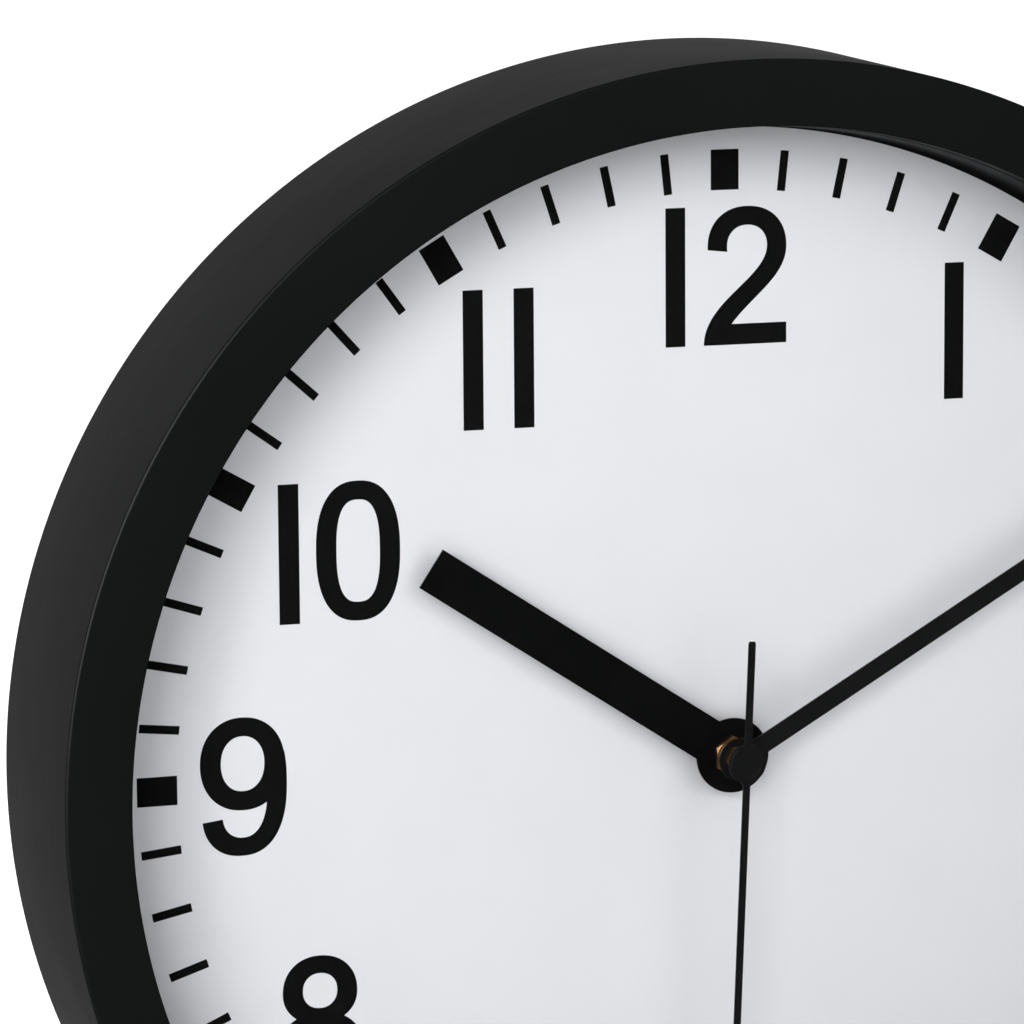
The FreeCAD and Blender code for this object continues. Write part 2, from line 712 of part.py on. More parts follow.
def build_mounting_hardware():
    bushing = new_body("mounting_bushing")
    length = dims.dial_standoff + dims.bushing_top - inside_face
    pad(bushing, "bushing_flange", inside_face, dims.bushing_flange_height,
        circles=[(0, 0, dims.bushing_flange), (0, 0, dims.bushing_bore)])
    pad(bushing, "bushing_tube", inside_face, length,
        circles=[(0, 0, dims.bushing_radius), (0, 0, dims.bushing_bore)])
    ring("rubber_washer", dims.rubber_radius, dims.bushing_radius,
         plate_back - dims.movement_front, dims.movement_front)
    ring("dial_washer", dims.washer_radius, dims.bushing_radius,
         dims.washer_height, dims.dial_standoff)
    hexagon = prism("mounting_nut_bar", dims.mounting_nut_flats, dims.mounting_nut_height)
    hole = cylinder("mounting_nut_hole", dims.bushing_radius, dims.mounting_nut_height)
    nut = stand(cut("mounting_nut", hexagon, hole), dims.dial_standoff + dims.washer_height)
    subpart(nut, "mounting_nut")


# ---------------------------------------------------------------- hands

def turned_body(label, angle):
    """A hand's body is drawn pointing to 12 and turned clockwise to its angle."""
    body = new_body(label)
    body.Placement = Placement(Vector(0, 0, 0), Rotation(Vector(0, 1, 0), angle.number))
    bind(body, "Placement.Rotation.Angle", angle)
    return body


def baton_hand(label, level, sheet_thickness, eye, hole, half_wide, length, angle):
    """Flat hand: a round eye and a straight square-ended bar."""
    body = turned_body(label, angle)
    standoff = dims.dial_standoff + level
    pad(body, f"{label}_eye", standoff, sheet_thickness, circles=[(0, 0, eye)])
    pad(body, f"{label}_bar", standoff, sheet_thickness,
        polygons=[rectangle(-half_wide, half_wide, 0, length)])
    pocket(body, f"{label}_hole", standoff + sheet_thickness, sheet_thickness,
           circles=[(0, 0, hole)])


def build_second_hand():
    body = turned_body("second_hand", dims.second_hand_angle)
    standoff = dims.dial_standoff + dims.second_hand_level
    half = dims.second_hand_width / 2
    neck = dims.second_neck_width / 2
    neck_end = dims.second_hub_radius + dims.second_neck_length
    pad(body, "second_hub_disc", standoff, dims.second_sheet,
        circles=[(0, 0, dims.second_hub_radius)])
    pad(body, "second_bar", standoff, dims.second_sheet, polygons=[
        rectangle(-half, half, -dims.second_hand_tail, dims.second_hand_length)])
    pad(body, "second_neck", standoff, dims.second_sheet, polygons=[[
        (-neck, dims.second_neck_start), (neck, dims.second_neck_start),
        (half, neck_end), (-half, neck_end)]])
    tail = dims.second_hand_tail.number

    def tail_corner(edge):
        box = edge.BoundBox
        return box.YLength > 0.1 and box.XLength < 1e-6 and abs(box.ZMin + tail) < 1e-3

    round_edges(body, "tail_round", body.Tip, dims.second_tail_round, tail_corner)


def build_hands():
    baton_hand("hour_hand", dims.hour_hand_level, dims.hand_sheet, dims.hour_eye_radius,
               dims.hex_bushing_neck, dims.hour_hand_width / 2, dims.hour_hand_length,
               dims.hour_hand_angle)
    baton_hand("minute_hand", dims.minute_hand_level, dims.hand_sheet, dims.minute_eye_radius,
               dims.minute_thread_radius, dims.minute_hand_width / 2, dims.minute_hand_length,
               dims.minute_hand_angle)
    build_second_hand()


def build_hand_fittings():
    hand_back = dims.dial_standoff + dims.hour_hand_level
    hand_front = hand_back + dims.hand_sheet
    flange_height = dims.hex_bushing_flange_height
    bore = dims.hour_tube_radius
    bushing = new_body("hour_hand_bushing")
    pad(bushing, "flange", hand_back - flange_height, flange_height,
        circles=[(0, 0, dims.hex_bushing_flange), (0, 0, bore)])
    pad(bushing, "neck", hand_back, dims.hand_sheet,
        circles=[(0, 0, dims.hex_bushing_neck), (0, 0, bore)])
    circumradius = dims.hex_bushing_flats / math.sqrt(3)
    first_corner = dims.hex_bushing_turn.number
    hexagon = [polar(CENTRE, circumradius, first_corner + 60 * i) for i in range(6)]
    pad(bushing, "hexagon", hand_front, dims.hex_bushing_height,
        polygons=[hexagon], circles=[(0, 0, bore)])

    nut_base = dims.dial_standoff + dims.minute_hand_level + dims.hand_sheet
    hexagon = prism("minute_nut_bar", dims.minute_nut_flats, dims.minute_nut_height)
    hole = cylinder("minute_nut_hole", dims.minute_thread_radius, dims.minute_nut_height)
    nut = stand(cut("minute_nut", hexagon, hole), nut_base)
    subpart(nut, "minute_nut")

    socket_front = dims.dial_standoff + dims.second_hand_level
    ring("second_hand_socket", dims.socket_radius, dims.seconds_arbor_radius,
         dims.socket_height, socket_front - dims.socket_height)


# ---------------------------------------------------------------- gear train

TOOTH_HEIGHT = 0.75  # addendum in modules
TOOTH_DEPTH = 1.15  # dedendum in modules
# half widths of a tooth at its root, pitch circle and tip, as shares of the tooth pitch
TOOTH_PROFILE = ((-TOOTH_DEPTH, 0.23), (0.0, 0.19), (0.5 * TOOTH_HEIGHT, 0.15), (TOOTH_HEIGHT, 0.07))


def toothed_disc(teeth, module, height, phase):
    """Gear along local Z from 0 to height. Phase is the direction of one tooth, in radians."""
    pitch_radius = module * teeth / 2
    pitch_angle = 2 * math.pi / teeth
    points = []
    for i in range(teeth):
        middle = phase + i * pitch_angle
        rising = [(pitch_radius + rise * module, middle - share * pitch_angle)
                  for rise, share in TOOTH_PROFILE]
        falling = [(pitch_radius + rise * module, middle + share * pitch_angle)
                   for rise, share in reversed(TOOTH_PROFILE)]
        for radius, direction in rising + falling:
            points.append(Vector(radius * math.cos(direction), radius * math.sin(direction), 0))
    outline = Part.makePolygon(points + [points[0]])
    return Part.Face(outline).extrude(Vector(0, 0, height))


def meshing_phase(driver_teeth, driver_phase, direction, teeth):
    """Tooth direction of a gear that meshes with a driver lying in the opposite direction."""
    driver_share = (direction - driver_phase) * driver_teeth / (2 * math.pi)
    return direction + math.pi - (0.5 - driver_share) * 2 * math.pi / teeth


def disc(radius, start, end):
    """Solid cylinder along local Z between two heights."""
    return Part.makeCylinder(radius, end - start, Vector(0, 0, start))


def layer(name):
    """Rear and front height of a layer along the train's local Z, whose zero is the inside face."""
    return -sheet.get(f"{name}_rear"), -sheet.get(f"{name}_face")


def gear(name, teeth, module, phase=0.0):
    """Toothed disc in its layer of the train."""
    rear, front = layer(name)
    solid = toothed_disc(whole(teeth), module, front - rear, phase)
    solid.translate(Vector(0, 0, rear))
    return solid


def moulding(label, solids, axis, holes=()):
    """One plastic or metal turned piece, its local Z counted frontwards from the inside face."""
    shape = solids[0].multiFuse(solids[1:]) if len(solids) > 1 else solids[0]
    for hole in holes:
        shape = shape.cut(hole)
    thing = doc.addObject("Part::Feature", label)
    thing.Shape = shape.removeSplitter()
    stand(thing, inside_face, *axis)
    subpart(thing, label)


def through(radius):
    """Cutter that passes right through the movement."""
    length = dims.movement_depth.number * 2
    return disc(radius, -length, length)


def in_front(level):
    """Height along the train's local Z of a level in front of the dial."""
    return dims.dial_standoff.number + level.number - inside_face.number


fine = dims.fine_module.number
works_module = dims.works_module.number
arbor = dims.arbor_radius.number
bearing_play = dims.pivot_play.number
arbor_rear = bearing_play * 2 - (dims.bridge_inside + dims.bridge_thickness).number
arbor_front = dims.pivot_depth.number - bearing_play


def small_arbor():
    """Arbor from the train bridge to the bearings in the front wall."""
    return disc(arbor, arbor_rear, arbor_front)


def build_hour_wheel():
    phase = meshing_phase(whole(dims.works_pinion_teeth), 0, math.radians(WORKS_DIRECTION + 180),
                          whole(dims.hour_teeth))
    moulding("hour_wheel", [
        gear("hour_wheel", dims.hour_teeth, works_pinion_module.number, phase),
        disc(dims.hour_tube_radius.number, layer("hour_wheel")[0], in_front(dims.hour_tube_top)),
    ], CENTRE, [through(dims.hour_tube_bore.number)])


def build_centre_wheel():
    shaft_radius = dims.minute_shaft_radius.number
    moulding("centre_wheel", [
        gear("centre_wheel", dims.centre_teeth, third_pinion_module.number),
        gear("centre_pinion", dims.centre_pinion_teeth, works_module),
    ], CENTRE, [through(shaft_radius)])
    shoulder = in_front(dims.minute_hand_level)
    shaft_rear = layer("centre_wheel")[0] - dims.arbor_radius.number / 2
    moulding("minute_shaft", [
        disc(shaft_radius, shaft_rear, shoulder),
        disc(dims.minute_thread_radius.number, shoulder, in_front(dims.minute_shaft_top)),
    ], CENTRE, [through(dims.minute_shaft_bore.number)])


def build_seconds_wheel():
    radius = dims.seconds_arbor_radius.number
    moulding("seconds_arbor", [disc(radius, arbor_rear, in_front(dims.second_hand_level))], CENTRE)
    moulding("seconds_wheel", [
        gear("seconds_wheel", dims.seconds_teeth, fine),
        disc(dims.seconds_pinion_teeth.number * fine / 2, *layer("seconds_collar")),
        gear("seconds_pinion", dims.seconds_pinion_teeth, fine),
    ], CENTRE, [through(radius)])


def build_third_wheel():
    way = math.radians(THIRD_DIRECTION)
    wheel_phase = meshing_phase(whole(dims.seconds_pinion_teeth), 0, way, whole(dims.third_teeth))
    pinion_phase = meshing_phase(whole(dims.centre_teeth), 0, way, whole(dims.third_pinion_teeth))
    moulding("third_wheel", [
        gear("third_wheel", dims.third_teeth, fine, wheel_phase),
        gear("third_pinion", dims.third_pinion_teeth, third_pinion_module.number, pinion_phase),
        small_arbor(),
    ], third_axis)


def build_intermediate_wheel():
    phase = meshing_phase(whole(dims.seconds_teeth), 0, math.radians(INTERMEDIATE_DIRECTION),
                          whole(dims.intermediate_pinion_teeth))
    moulding("intermediate_wheel", [
        gear("intermediate_wheel", dims.intermediate_teeth, fine),
        gear("intermediate_pinion", dims.intermediate_pinion_teeth, fine, phase),
        small_arbor(),
    ], intermediate_axis)


def build_rotor():
    phase = meshing_phase(whole(dims.intermediate_teeth), 0, math.radians(ROTOR_DIRECTION),
                          whole(dims.rotor_teeth))
    stator_middle = dims.stator_inside + dims.stator_thickness / 2
    magnet_rear = -(stator_middle + dims.rotor_length / 2).number
    magnet_front = magnet_rear + dims.rotor_length.number
    core = disc(arbor * 2, layer("rotor_pinion")[1], magnet_front)
    moulding("rotor_pinion", [gear("rotor_pinion", dims.rotor_teeth, fine, phase), core, small_arbor()],
             rotor_axis)
    magnet = disc(dims.rotor_radius.number, magnet_rear, magnet_front)
    moulding("rotor_magnet", [magnet], rotor_axis, [through(arbor * 2)])


def works_wheel_phase():
    return meshing_phase(whole(dims.centre_pinion_teeth), 0, math.radians(WORKS_DIRECTION),
                         whole(dims.works_teeth))


def build_works_wheel():
    moulding("minute_works_wheel", [
        gear("works_wheel", dims.works_teeth, works_module, works_wheel_phase()),
        gear("works_pinion", dims.works_pinion_teeth, works_pinion_module.number),
    ], works_axis, [through(dims.works_post_radius.number + bearing_play)])


def build_set_knob():
    phase = meshing_phase(whole(dims.works_teeth), works_wheel_phase(), math.radians(SET_DIRECTION),
                          whole(dims.set_teeth))
    knob_front = (movement_back - dims.knob_gap - inside_face).number
    knob_rear = knob_front - dims.knob_height.number
    radius = dims.knob_radius.number
    knob = disc(radius, knob_rear, knob_front)
    grooves = whole(dims.knob_grooves)
    for i in range(grooves):
        way = 2 * math.pi * i / grooves
        groove = disc(dims.knob_groove_radius.number, knob_rear, knob_front)
        groove.translate(Vector(math.cos(way), math.sin(way), 0) * radius)
        knob = knob.cut(groove)
    pinion_rear, pinion_front = layer("set_pinion")
    moulding("set_knob", [
        knob,
        disc(dims.set_shaft_radius.number, knob_front, pinion_rear),
        gear("set_pinion", dims.set_teeth, works_module, phase),
        disc(arbor * 2, pinion_front, arbor_front),
    ], set_axis)


def build_gears():
    """Teeth are phased outwards from the gears on the hands' axis."""
    build_hour_wheel()
    build_centre_wheel()
    build_seconds_wheel()
    build_third_wheel()
    build_intermediate_wheel()
    build_rotor()
    build_works_wheel()
    build_set_knob()


# ---------------------------------------------------------------- stepping motor and board

RIGHTWARD = Rotation(Vector(0, 1, 0), 90)  # local Z points along +X


def lay(thing, across, standoff, up):
    """Puts a piece that was built along local Z so that it points to the right."""
    across, standoff, up = as_size(across), as_size(standoff), as_size(up)
    thing.Placement = Placement(Vector(across.number, -standoff.number, up.number), RIGHTWARD)
    bind(thing, "Placement.Base.x", across)
    bind(thing, "Placement.Base.y", -standoff)
    bind(thing, "Placement.Base.z", up)
    return thing


def build_stator():
    core_low = dims.coil_height - dims.core_width / 2
    core_high = dims.coil_height + dims.core_width / 2
    window_left = -(dims.stator_left - dims.stator_leg - dims.spool_play)
    window_right = -(dims.stator_right + dims.stator_leg)
    body = new_body("stator")
    pad(body, "lamination", inside_face - dims.stator_inside - dims.stator_thickness,
        dims.stator_thickness, polygons=[
            rectangle(-dims.stator_left, -dims.stator_right, dims.stator_bottom, core_high),
            rectangle(window_left, window_right, dims.stator_window, core_low),
        ], circles=[(*rotor_axis, dims.rotor_radius + dims.rotor_gap)])
    return window_left, window_right


def build_coil(left, right):
    """Bobbin and winding around the stator's upper bar."""
    standoff = inside_face - dims.stator_inside - dims.stator_thickness / 2
    cheek = dims.spool_cheek

    def lengthways(name, radius, start, end):
        return lay(cylinder(name, radius, end - start), start, standoff, dims.coil_height)

    spool = doc.addObject("Part::MultiFuse", "spool")
    spool.Shapes = [
        lengthways("spool_tube", dims.spool_tube_radius, left, right),
        lengthways("spool_left_cheek", dims.coil_flange_radius, left, left + cheek),
        lengthways("spool_right_cheek", dims.coil_flange_radius, right - cheek, right),
    ]
    bore = lengthways("spool_bore", dims.spool_bore_radius, left, right)
    subpart(cut("coil_bobbin", spool, bore), "coil_bobbin")
    winding = lengthways("winding", dims.coil_radius, left + cheek, right - cheek)
    hollow = lengthways("winding_hollow", dims.spool_tube_radius, left, right)
    subpart(cut("coil_winding", winding, hollow), "coil_winding")


def build_board():
    board_back = inside_face - dims.board_inside - dims.board_thickness
    body = new_body("circuit_board")
    pad(body, "board", board_back, dims.board_thickness, polygons=[
        rectangle(dims.board_left, dims.board_right, dims.board_bottom, dims.board_top)])

    radius = dims.chip_radius.number
    height = dims.chip_height.number
    ball_radius = (radius ** 2 + height ** 2) / (2 * height)
    ball = Part.makeSphere(ball_radius, Vector(0, 0, ball_radius - height))
    chip = doc.addObject("Part::Feature", "clock_chip")
    chip.Shape = ball.common(Part.makeCylinder(ball_radius, height, Vector(0, 0, -height)))
    stand(chip, board_back, dims.chip_across, dims.chip_up)
    subpart(chip, "clock_chip")

    crystal = cylinder("quartz_crystal", dims.crystal_radius, dims.crystal_length)
    lay(crystal, dims.crystal_across, board_back - dims.crystal_radius, dims.crystal_up)
    subpart(crystal, "quartz_crystal")


# ---------------------------------------------------------------- battery and contacts

battery_up = bay_floor + dims.bay_height / 2
battery_end = chamber_half - dims.contact_sheet - dims.nub_play - dims.nub_length
battery_start = battery_end - dims.battery_length


def build_battery():
    battery = doc.addObject("Part::MultiFuse", "battery")
    battery.Shapes = [
        lay(cylinder("battery_can", dims.battery_radius, dims.battery_length),
            battery_start, dims.battery_depth, battery_up),
        lay(cylinder("battery_nub", dims.nub_radius, dims.nub_length),
            battery_end, dims.battery_depth, battery_up),
    ]
    subpart(battery, "battery")


def build_contact():
    """Square contact plate at the battery's nub."""
    contact = doc.addObject("Part::Box", "battery_contact")
    bind(contact, "Length", dims.contact_sheet)
    bind(contact, "Width", dims.contact_side)
    bind(contact, "Height", dims.contact_side)
    bind(contact, "Placement.Base.x", chamber_half - dims.contact_sheet)
    bind(contact, "Placement.Base.y", -dims.battery_depth - dims.contact_side / 2)
    bind(contact, "Placement.Base.z", battery_up - dims.contact_side / 2)
    subpart(contact, "battery_contact")


def build_spring():
    """Conical coil on a square plate, squeezed between the bay's end and the battery."""
    wire = dims.spring_wire.number
    plate = dims.contact_sheet.number
    side = dims.contact_side.number
    big = dims.spring_big_radius.number
    small = dims.spring_small_radius.number
    turns = dims.spring_turns.number
    rise = (battery_start - dims.spring_play + chamber_half).number - plate - 2 * wire
    lean = math.degrees(math.atan((big - small) / rise))
    path = Part.makeHelix(rise / turns, rise, big, -lean)
    section = Part.Wire(Part.makeCircle(wire, Vector(big, 0, 0), Vector(0, 1, 0)))
    coil = Part.Wire(path.Edges).makePipeShell([section], True, True)
    sink = wire * 0.1
    coil.translate(Vector(0, 0, plate + wire - sink))
    base = Part.makeBox(side, side, plate, Vector(-side / 2, -side / 2, 0))
    spring = doc.addObject("Part::Feature", "battery_spring")
    spring.Shape = base.fuse(coil)
    lay(spring, -chamber_half, dims.battery_depth, battery_up)
    subpart(spring, "battery_spring")


# ---------------------------------------------------------------- assembly, tests and export

def build_clock():
    build_case_rim()
    build_lens()
    ring("dial", dims.dial_radius, dims.shaft_hole_radius, dims.dial_thickness, dial_back)
    build_back_plate()
    build_screws()
    build_movement_housing()
    build_movement_cover()
    build_train_bridge()
    build_mounting_hardware()
    build_hands()
    build_hand_fittings()
    build_gears()
    build_coil(*build_stator())
    build_board()
    build_battery()
    build_contact()
    build_spring()


def check_and_export():
    doc.recompute()
    for thing in doc.Objects:
        if any(state in ("Invalid", "Error") for state in thing.State):
            raise RuntimeError(f"{thing.Label} failed: {thing.State}")
    for piece in SUBPARTS:
        if piece.Shape.isNull() or not piece.Shape.isValid():
            raise RuntimeError(f"{piece.Label} has no valid shape")
    os.makedirs("parts", exist_ok=True)
    for piece in SUBPARTS:
        piece.Shape.exportStep(f"parts/{piece.Label}.step")
        solids = len(piece.Shape.Solids)
        print(f"{piece.Label}: {solids} solid(s), {piece.Shape.Volume:.1f} mm3")


build_clock()
check_and_export()
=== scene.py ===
import math

import bmesh
import bpy
from mathutils import Matrix, Vector
from mathutils.geometry import delaunay_2d_cdt


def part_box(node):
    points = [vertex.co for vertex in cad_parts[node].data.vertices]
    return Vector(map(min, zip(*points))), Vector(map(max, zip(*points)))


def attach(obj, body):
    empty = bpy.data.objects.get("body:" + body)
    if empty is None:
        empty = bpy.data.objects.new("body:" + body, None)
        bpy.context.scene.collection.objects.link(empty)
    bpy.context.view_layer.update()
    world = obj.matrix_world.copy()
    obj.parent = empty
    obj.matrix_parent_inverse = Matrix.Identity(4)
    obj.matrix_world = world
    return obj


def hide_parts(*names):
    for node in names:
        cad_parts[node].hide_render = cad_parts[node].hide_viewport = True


# Round wall clock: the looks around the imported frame. Metres, +Z up, the front faces -Y,
# the wall plane is Y = 0 and the hands turn about the Y axis.

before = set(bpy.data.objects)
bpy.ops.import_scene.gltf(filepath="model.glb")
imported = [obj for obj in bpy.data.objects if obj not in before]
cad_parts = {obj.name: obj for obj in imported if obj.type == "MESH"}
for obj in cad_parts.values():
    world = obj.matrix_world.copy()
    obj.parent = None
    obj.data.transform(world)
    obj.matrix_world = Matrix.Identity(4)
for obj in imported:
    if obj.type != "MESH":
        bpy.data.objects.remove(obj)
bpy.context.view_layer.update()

MM = 0.001
UP = Vector((0, 0, 1))

# ---------------------------------------------------------------- sizes from the frame


def box(node):
    low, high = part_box(node)
    return Vector(low), Vector(high)


def radius_range(node, y):
    """Smallest and largest distance from the hands' axis among a node's points at one depth."""
    tolerance = 0.05 * MM
    points = [v.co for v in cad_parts[node].data.vertices]
    radii = [math.hypot(point.x, point.z) for point in points if abs(point.y - y) < tolerance]
    return min(radii), max(radii)


case_low, case_high = box("case_rim")
CASE_FRONT = case_low.y
CASE_BACK = case_high.y
dial_low, dial_high = box("dial")
DIAL_FRONT = dial_low.y
DIAL_BACK = dial_high.y
CASE_WALL = 2.0 * MM
RING_BACK = CASE_FRONT + CASE_WALL  # rear face of the front ring
LENS_SEAT = 0.12 * MM  # depth of the shallow line in the inner wall that the lens sits in
INNER_ROUND = 0.25 * MM  # round between the front ring and the inner wall
WINDOW_RADIUS = radius_range("case_rim", CASE_FRONT)[0]
SIGHT_RADIUS = radius_range("case_rim", DIAL_FRONT)[0]
BACK_RADIUS = radius_range("case_rim", CASE_BACK)[1]
EDGE_ROUND = 0.7 * MM
FRONT_RADIUS = radius_range("case_rim", CASE_FRONT)[1] + EDGE_ROUND

# six bosses behind the front ring take the back plate's screws
BOSS_COUNT = 6
BOSS_PITCH_RADIUS = 138.2 * MM
BOSS_RADIUS = 3.6 * MM
BOSS_HOLE_RADIUS = 1.25 * MM

# printed dial
DIAL_HOLE_RADIUS = 4.15 * MM
TICK_OUTER = 125.0 * MM
TICK_INNER = 116.7 * MM
MINUTE_TICK_WIDTH = 1.77 * MM
HOUR_TICK_WIDTH = 6.0 * MM
INK_THICKNESS = 0.03 * MM

# hands: degrees clockwise from 12, and sizes from the axis they turn about
HOUR_ANGLE = 303.58
HOUR_EYE_RADIUS = 7.84 * MM
HOUR_HALF_WIDTH = 4.55 * MM
HOUR_LENGTH = 77.4 * MM
MINUTE_ANGLE = 60.17
MINUTE_EYE_RADIUS = 4.5 * MM
MINUTE_HALF_WIDTH = 1.95 * MM
MINUTE_LENGTH = 114.0 * MM
SECOND_ANGLE = 182.36
SECOND_HUB_RADIUS = 4.05 * MM
SECOND_HALF_WIDTH = 0.775 * MM
SECOND_LENGTH = 112.0 * MM
SECOND_TAIL = 25.4 * MM
SECOND_NECK_HALF_WIDTH = 1.2 * MM
SECOND_NECK_LENGTH = 0.6 * MM
TAIL_CUT_ACROSS = 0.2 * MM
TAIL_CUT_ALONG = 0.45 * MM
HAND_EDGE_ROUND = 0.07 * MM
SECOND_EDGE_ROUND = 0.06 * MM

# raised rim on the second hand's hub
RIM_INNER_RADIUS = 2.9 * MM
RIM_OUTER_RADIUS = 3.6 * MM
RIM_SLOPE_WIDTH = 0.1 * MM
RIM_HEIGHT = 0.06 * MM
RIM_ROUND = 0.03 * MM

# brass fittings that hold the hands
BUSHING_FLATS = 7.5 * MM
BUSHING_BORE = 3.3 * MM
BUSHING_NECK_RADIUS = 3.7 * MM
BUSHING_FLANGE_RADIUS = 4.6 * MM
BUSHING_TURN = math.radians(33)
BUSHING_CHAMFER = 0.35 * MM
MINUTE_NUT_FLATS = 5.5 * MM
MINUTE_NUT_CHAMFER = 0.3 * MM
MINUTE_SHAFT_RADIUS = 1.5 * MM

# studio
FLOOR_RADIUS = 14.0
FLOOR_GAP = 0.5 * MM  # keeps the floor just under the case
SURROUND = 1.05  # brightness of the backdrop as the camera sees it
SOFT_LIGHT = 0.97
FLOOR_LIGHT = 1.2
FLOOR_LIGHT_ANGLE = math.radians(60)
# soft boxes: degrees clockwise from 12, degrees off the face's plane, distance, width, height,
# radiance, and whether one only lights ("diffuse"), only shows as a reflection ("glossy") or both
PANELS = [
    ("front", 302, 52, 2.3, 1.0, 1.0, 7.3, "both"),
    ("low_left", 285, 28, 2.3, 1.6, 1.6, 5.8, "both"),
    ("top_right", 40, 45, 2.3, 1.6, 1.6, 1.3, "diffuse"),
    ("fill", 80, 48, 2.3, 1.6, 1.6, 1.5, "diffuse"),
    ("glint", 80, 48, 2.3, 1.2, 1.2, 0.5, "glossy"),
    ("wall_behind", 0, -90, 2.5, 9.0, 6.0, 0.24, "glossy"),
]

# a long lens to the left of the clock and above its middle
FOCAL_LENGTH = 178.8
SENSOR_WIDTH = 36.0
CAMERA_PLACE = Vector((-0.3492, -1.0014, 0.2156))
CAMERA_TARGET = Vector((-0.0459, DIAL_FRONT, 0.0527))
CAMERA_ROLL = math.radians(-0.42)

# ---------------------------------------------------------------- node helpers for materials


class Graph:
    """A material's node tree with short calls to add and wire nodes."""

    def __init__(self, name):
        self.material = bpy.data.materials.new(name)
        self.material.use_nodes = True
        self.tree = self.material.node_tree
        self.shader = self.tree.nodes["Principled BSDF"]
        self.place = self.node("ShaderNodeTexCoord").outputs["Object"]

    def node(self, kind, **settings):
        made = self.tree.nodes.new(kind)
        for key, value in settings.items():
            setattr(made, key, value)
        return made

    def wire(self, source, target):
        self.tree.links.new(source, target)

    def feed(self, target, value):
        if hasattr(value, "is_output"):
            self.wire(value, target)
        else:
            target.default_value = value

    def base(self, color, roughness, metallic=0.0, specular=0.5):
        self.shader.inputs["Base Color"].default_value = (*color, 1)
        self.shader.inputs["Roughness"].default_value = roughness
        self.shader.inputs["Metallic"].default_value = metallic
        self.shader.inputs["Specular IOR Level"].default_value = specular
        return self

    def stretched(self, scale):
        mapping = self.node("ShaderNodeMapping")
        mapping.inputs["Scale"].default_value = scale
        self.wire(self.place, mapping.inputs["Vector"])
        return mapping.outputs["Vector"]

    def noise(self, scale, detail=3.0, roughness=0.5, vector=None):
        made = self.node("ShaderNodeTexNoise")
        made.inputs["Scale"].default_value = scale
        made.inputs["Detail"].default_value = detail
        made.inputs["Roughness"].default_value = roughness
        self.wire(vector or self.place, made.inputs["Vector"])
        return made.outputs["Fac"]

    def ramp(self, value, low, high, to_low, to_high):
        made = self.node("ShaderNodeMapRange")
        self.wire(value, made.inputs["Value"])
        limits = {"From Min": low, "From Max": high, "To Min": to_low, "To Max": to_high}
        for key, number in limits.items():
            made.inputs[key].default_value = number
        return made.outputs["Result"]

    def spread(self, noise, to_low, to_high):
        """Stretches a noise, most of which lies near the middle of 0 to 1, over a range."""
        return self.ramp(noise, 0.3, 0.7, to_low, to_high)

    def math(self, operation, first, second):
        made = self.node("ShaderNodeMath", operation=operation)
        self.feed(made.inputs[0], first)
        self.feed(made.inputs[1], second)
        return made.outputs["Value"]

    def mix_color(self, share, first, second):
        made = self.node("ShaderNodeMix", data_type="RGBA")
        self.feed(made.inputs["Factor"], share)
        for socket, color in ((made.inputs["A"], first), (made.inputs["B"], second)):
            self.feed(socket, color if hasattr(color, "is_output") else (*color, 1))
        return made.outputs["Result"]

    def color(self, source):
        self.wire(source, self.shader.inputs["Base Color"])

    def roughness(self, source):
        self.wire(source, self.shader.inputs["Roughness"])

    def bump(self, height, strength, distance):
        made = self.node("ShaderNodeBump")
        made.inputs["Strength"].default_value = strength
        made.inputs["Distance"].default_value = distance
        self.wire(height, made.inputs["Height"])
        self.wire(made.outputs["Normal"], self.shader.inputs["Normal"])

    def rings(self, scale):
        """Fine turning marks around the hands' axis."""
        made = self.node("ShaderNodeTexWave", wave_type="RINGS", rings_direction="Y")
        made.inputs["Scale"].default_value = scale
        made.inputs["Distortion"].default_value = 0.4
        self.wire(self.place, made.inputs["Vector"])
        return made.outputs["Fac"]


def plastic(name, color, roughness, grain_scale, grain, specular=0.5):
    """Moulded plastic: a fine spark-eroded grain and faint drifts in gloss and shade."""
    drift = 0.05
    g = Graph(name).base(color, roughness, specular=specular)
    drifting = g.noise(28.0, 4.0)
    fine = g.noise(grain_scale, 2.0)
    g.roughness(g.spread(drifting, roughness - drift, roughness + drift))
    darker = tuple(c * 0.9 for c in color)
    lighter = tuple(c * 1.1 for c in color)
    g.color(g.mix_color(drifting, darker, lighter))
    g.bump(fine, grain, 0.02 * MM)
    return g.material


def metal(name, color, roughness, marks=2600.0):
    """Turned or stamped metal with fine tool marks and uneven tarnish."""
    tarnish = 0.24
    g = Graph(name).base(color, roughness, metallic=1.0)
    cloud = g.noise(900.0, 4.0)
    worn = tuple(c * (1 - tarnish) for c in color)
    g.color(g.mix_color(g.ramp(cloud, 0.35, 0.75, 0.0, 1.0), color, worn))
    g.roughness(g.spread(cloud, roughness - 0.06, roughness + 0.1))
    g.bump(g.rings(marks), 0.15, 0.01 * MM)
    return g.material


def case_material():
    """Satin black moulding: fine grain, with faint flow marks and drifts in its gloss."""
    g = Graph("case_black_satin").base((0.0034, 0.0037, 0.0037), 0.38, specular=0.14)
    drifting = g.noise(22.0, 5.0, 0.55)
    fine = g.noise(7000.0, 2.0)
    along_flow = g.stretched((40.0, 260.0, 40.0))
    flow = g.noise(1.0, 3.0, 0.5, along_flow)
    g.roughness(g.math("ADD", g.spread(drifting, 0.35, 0.42), g.spread(flow, -0.01, 0.01)))
    g.color(g.mix_color(drifting, (0.0031, 0.0034, 0.0034), (0.0037, 0.0040, 0.0040)))
    g.bump(fine, 0.06, 0.015 * MM)
    return g.material


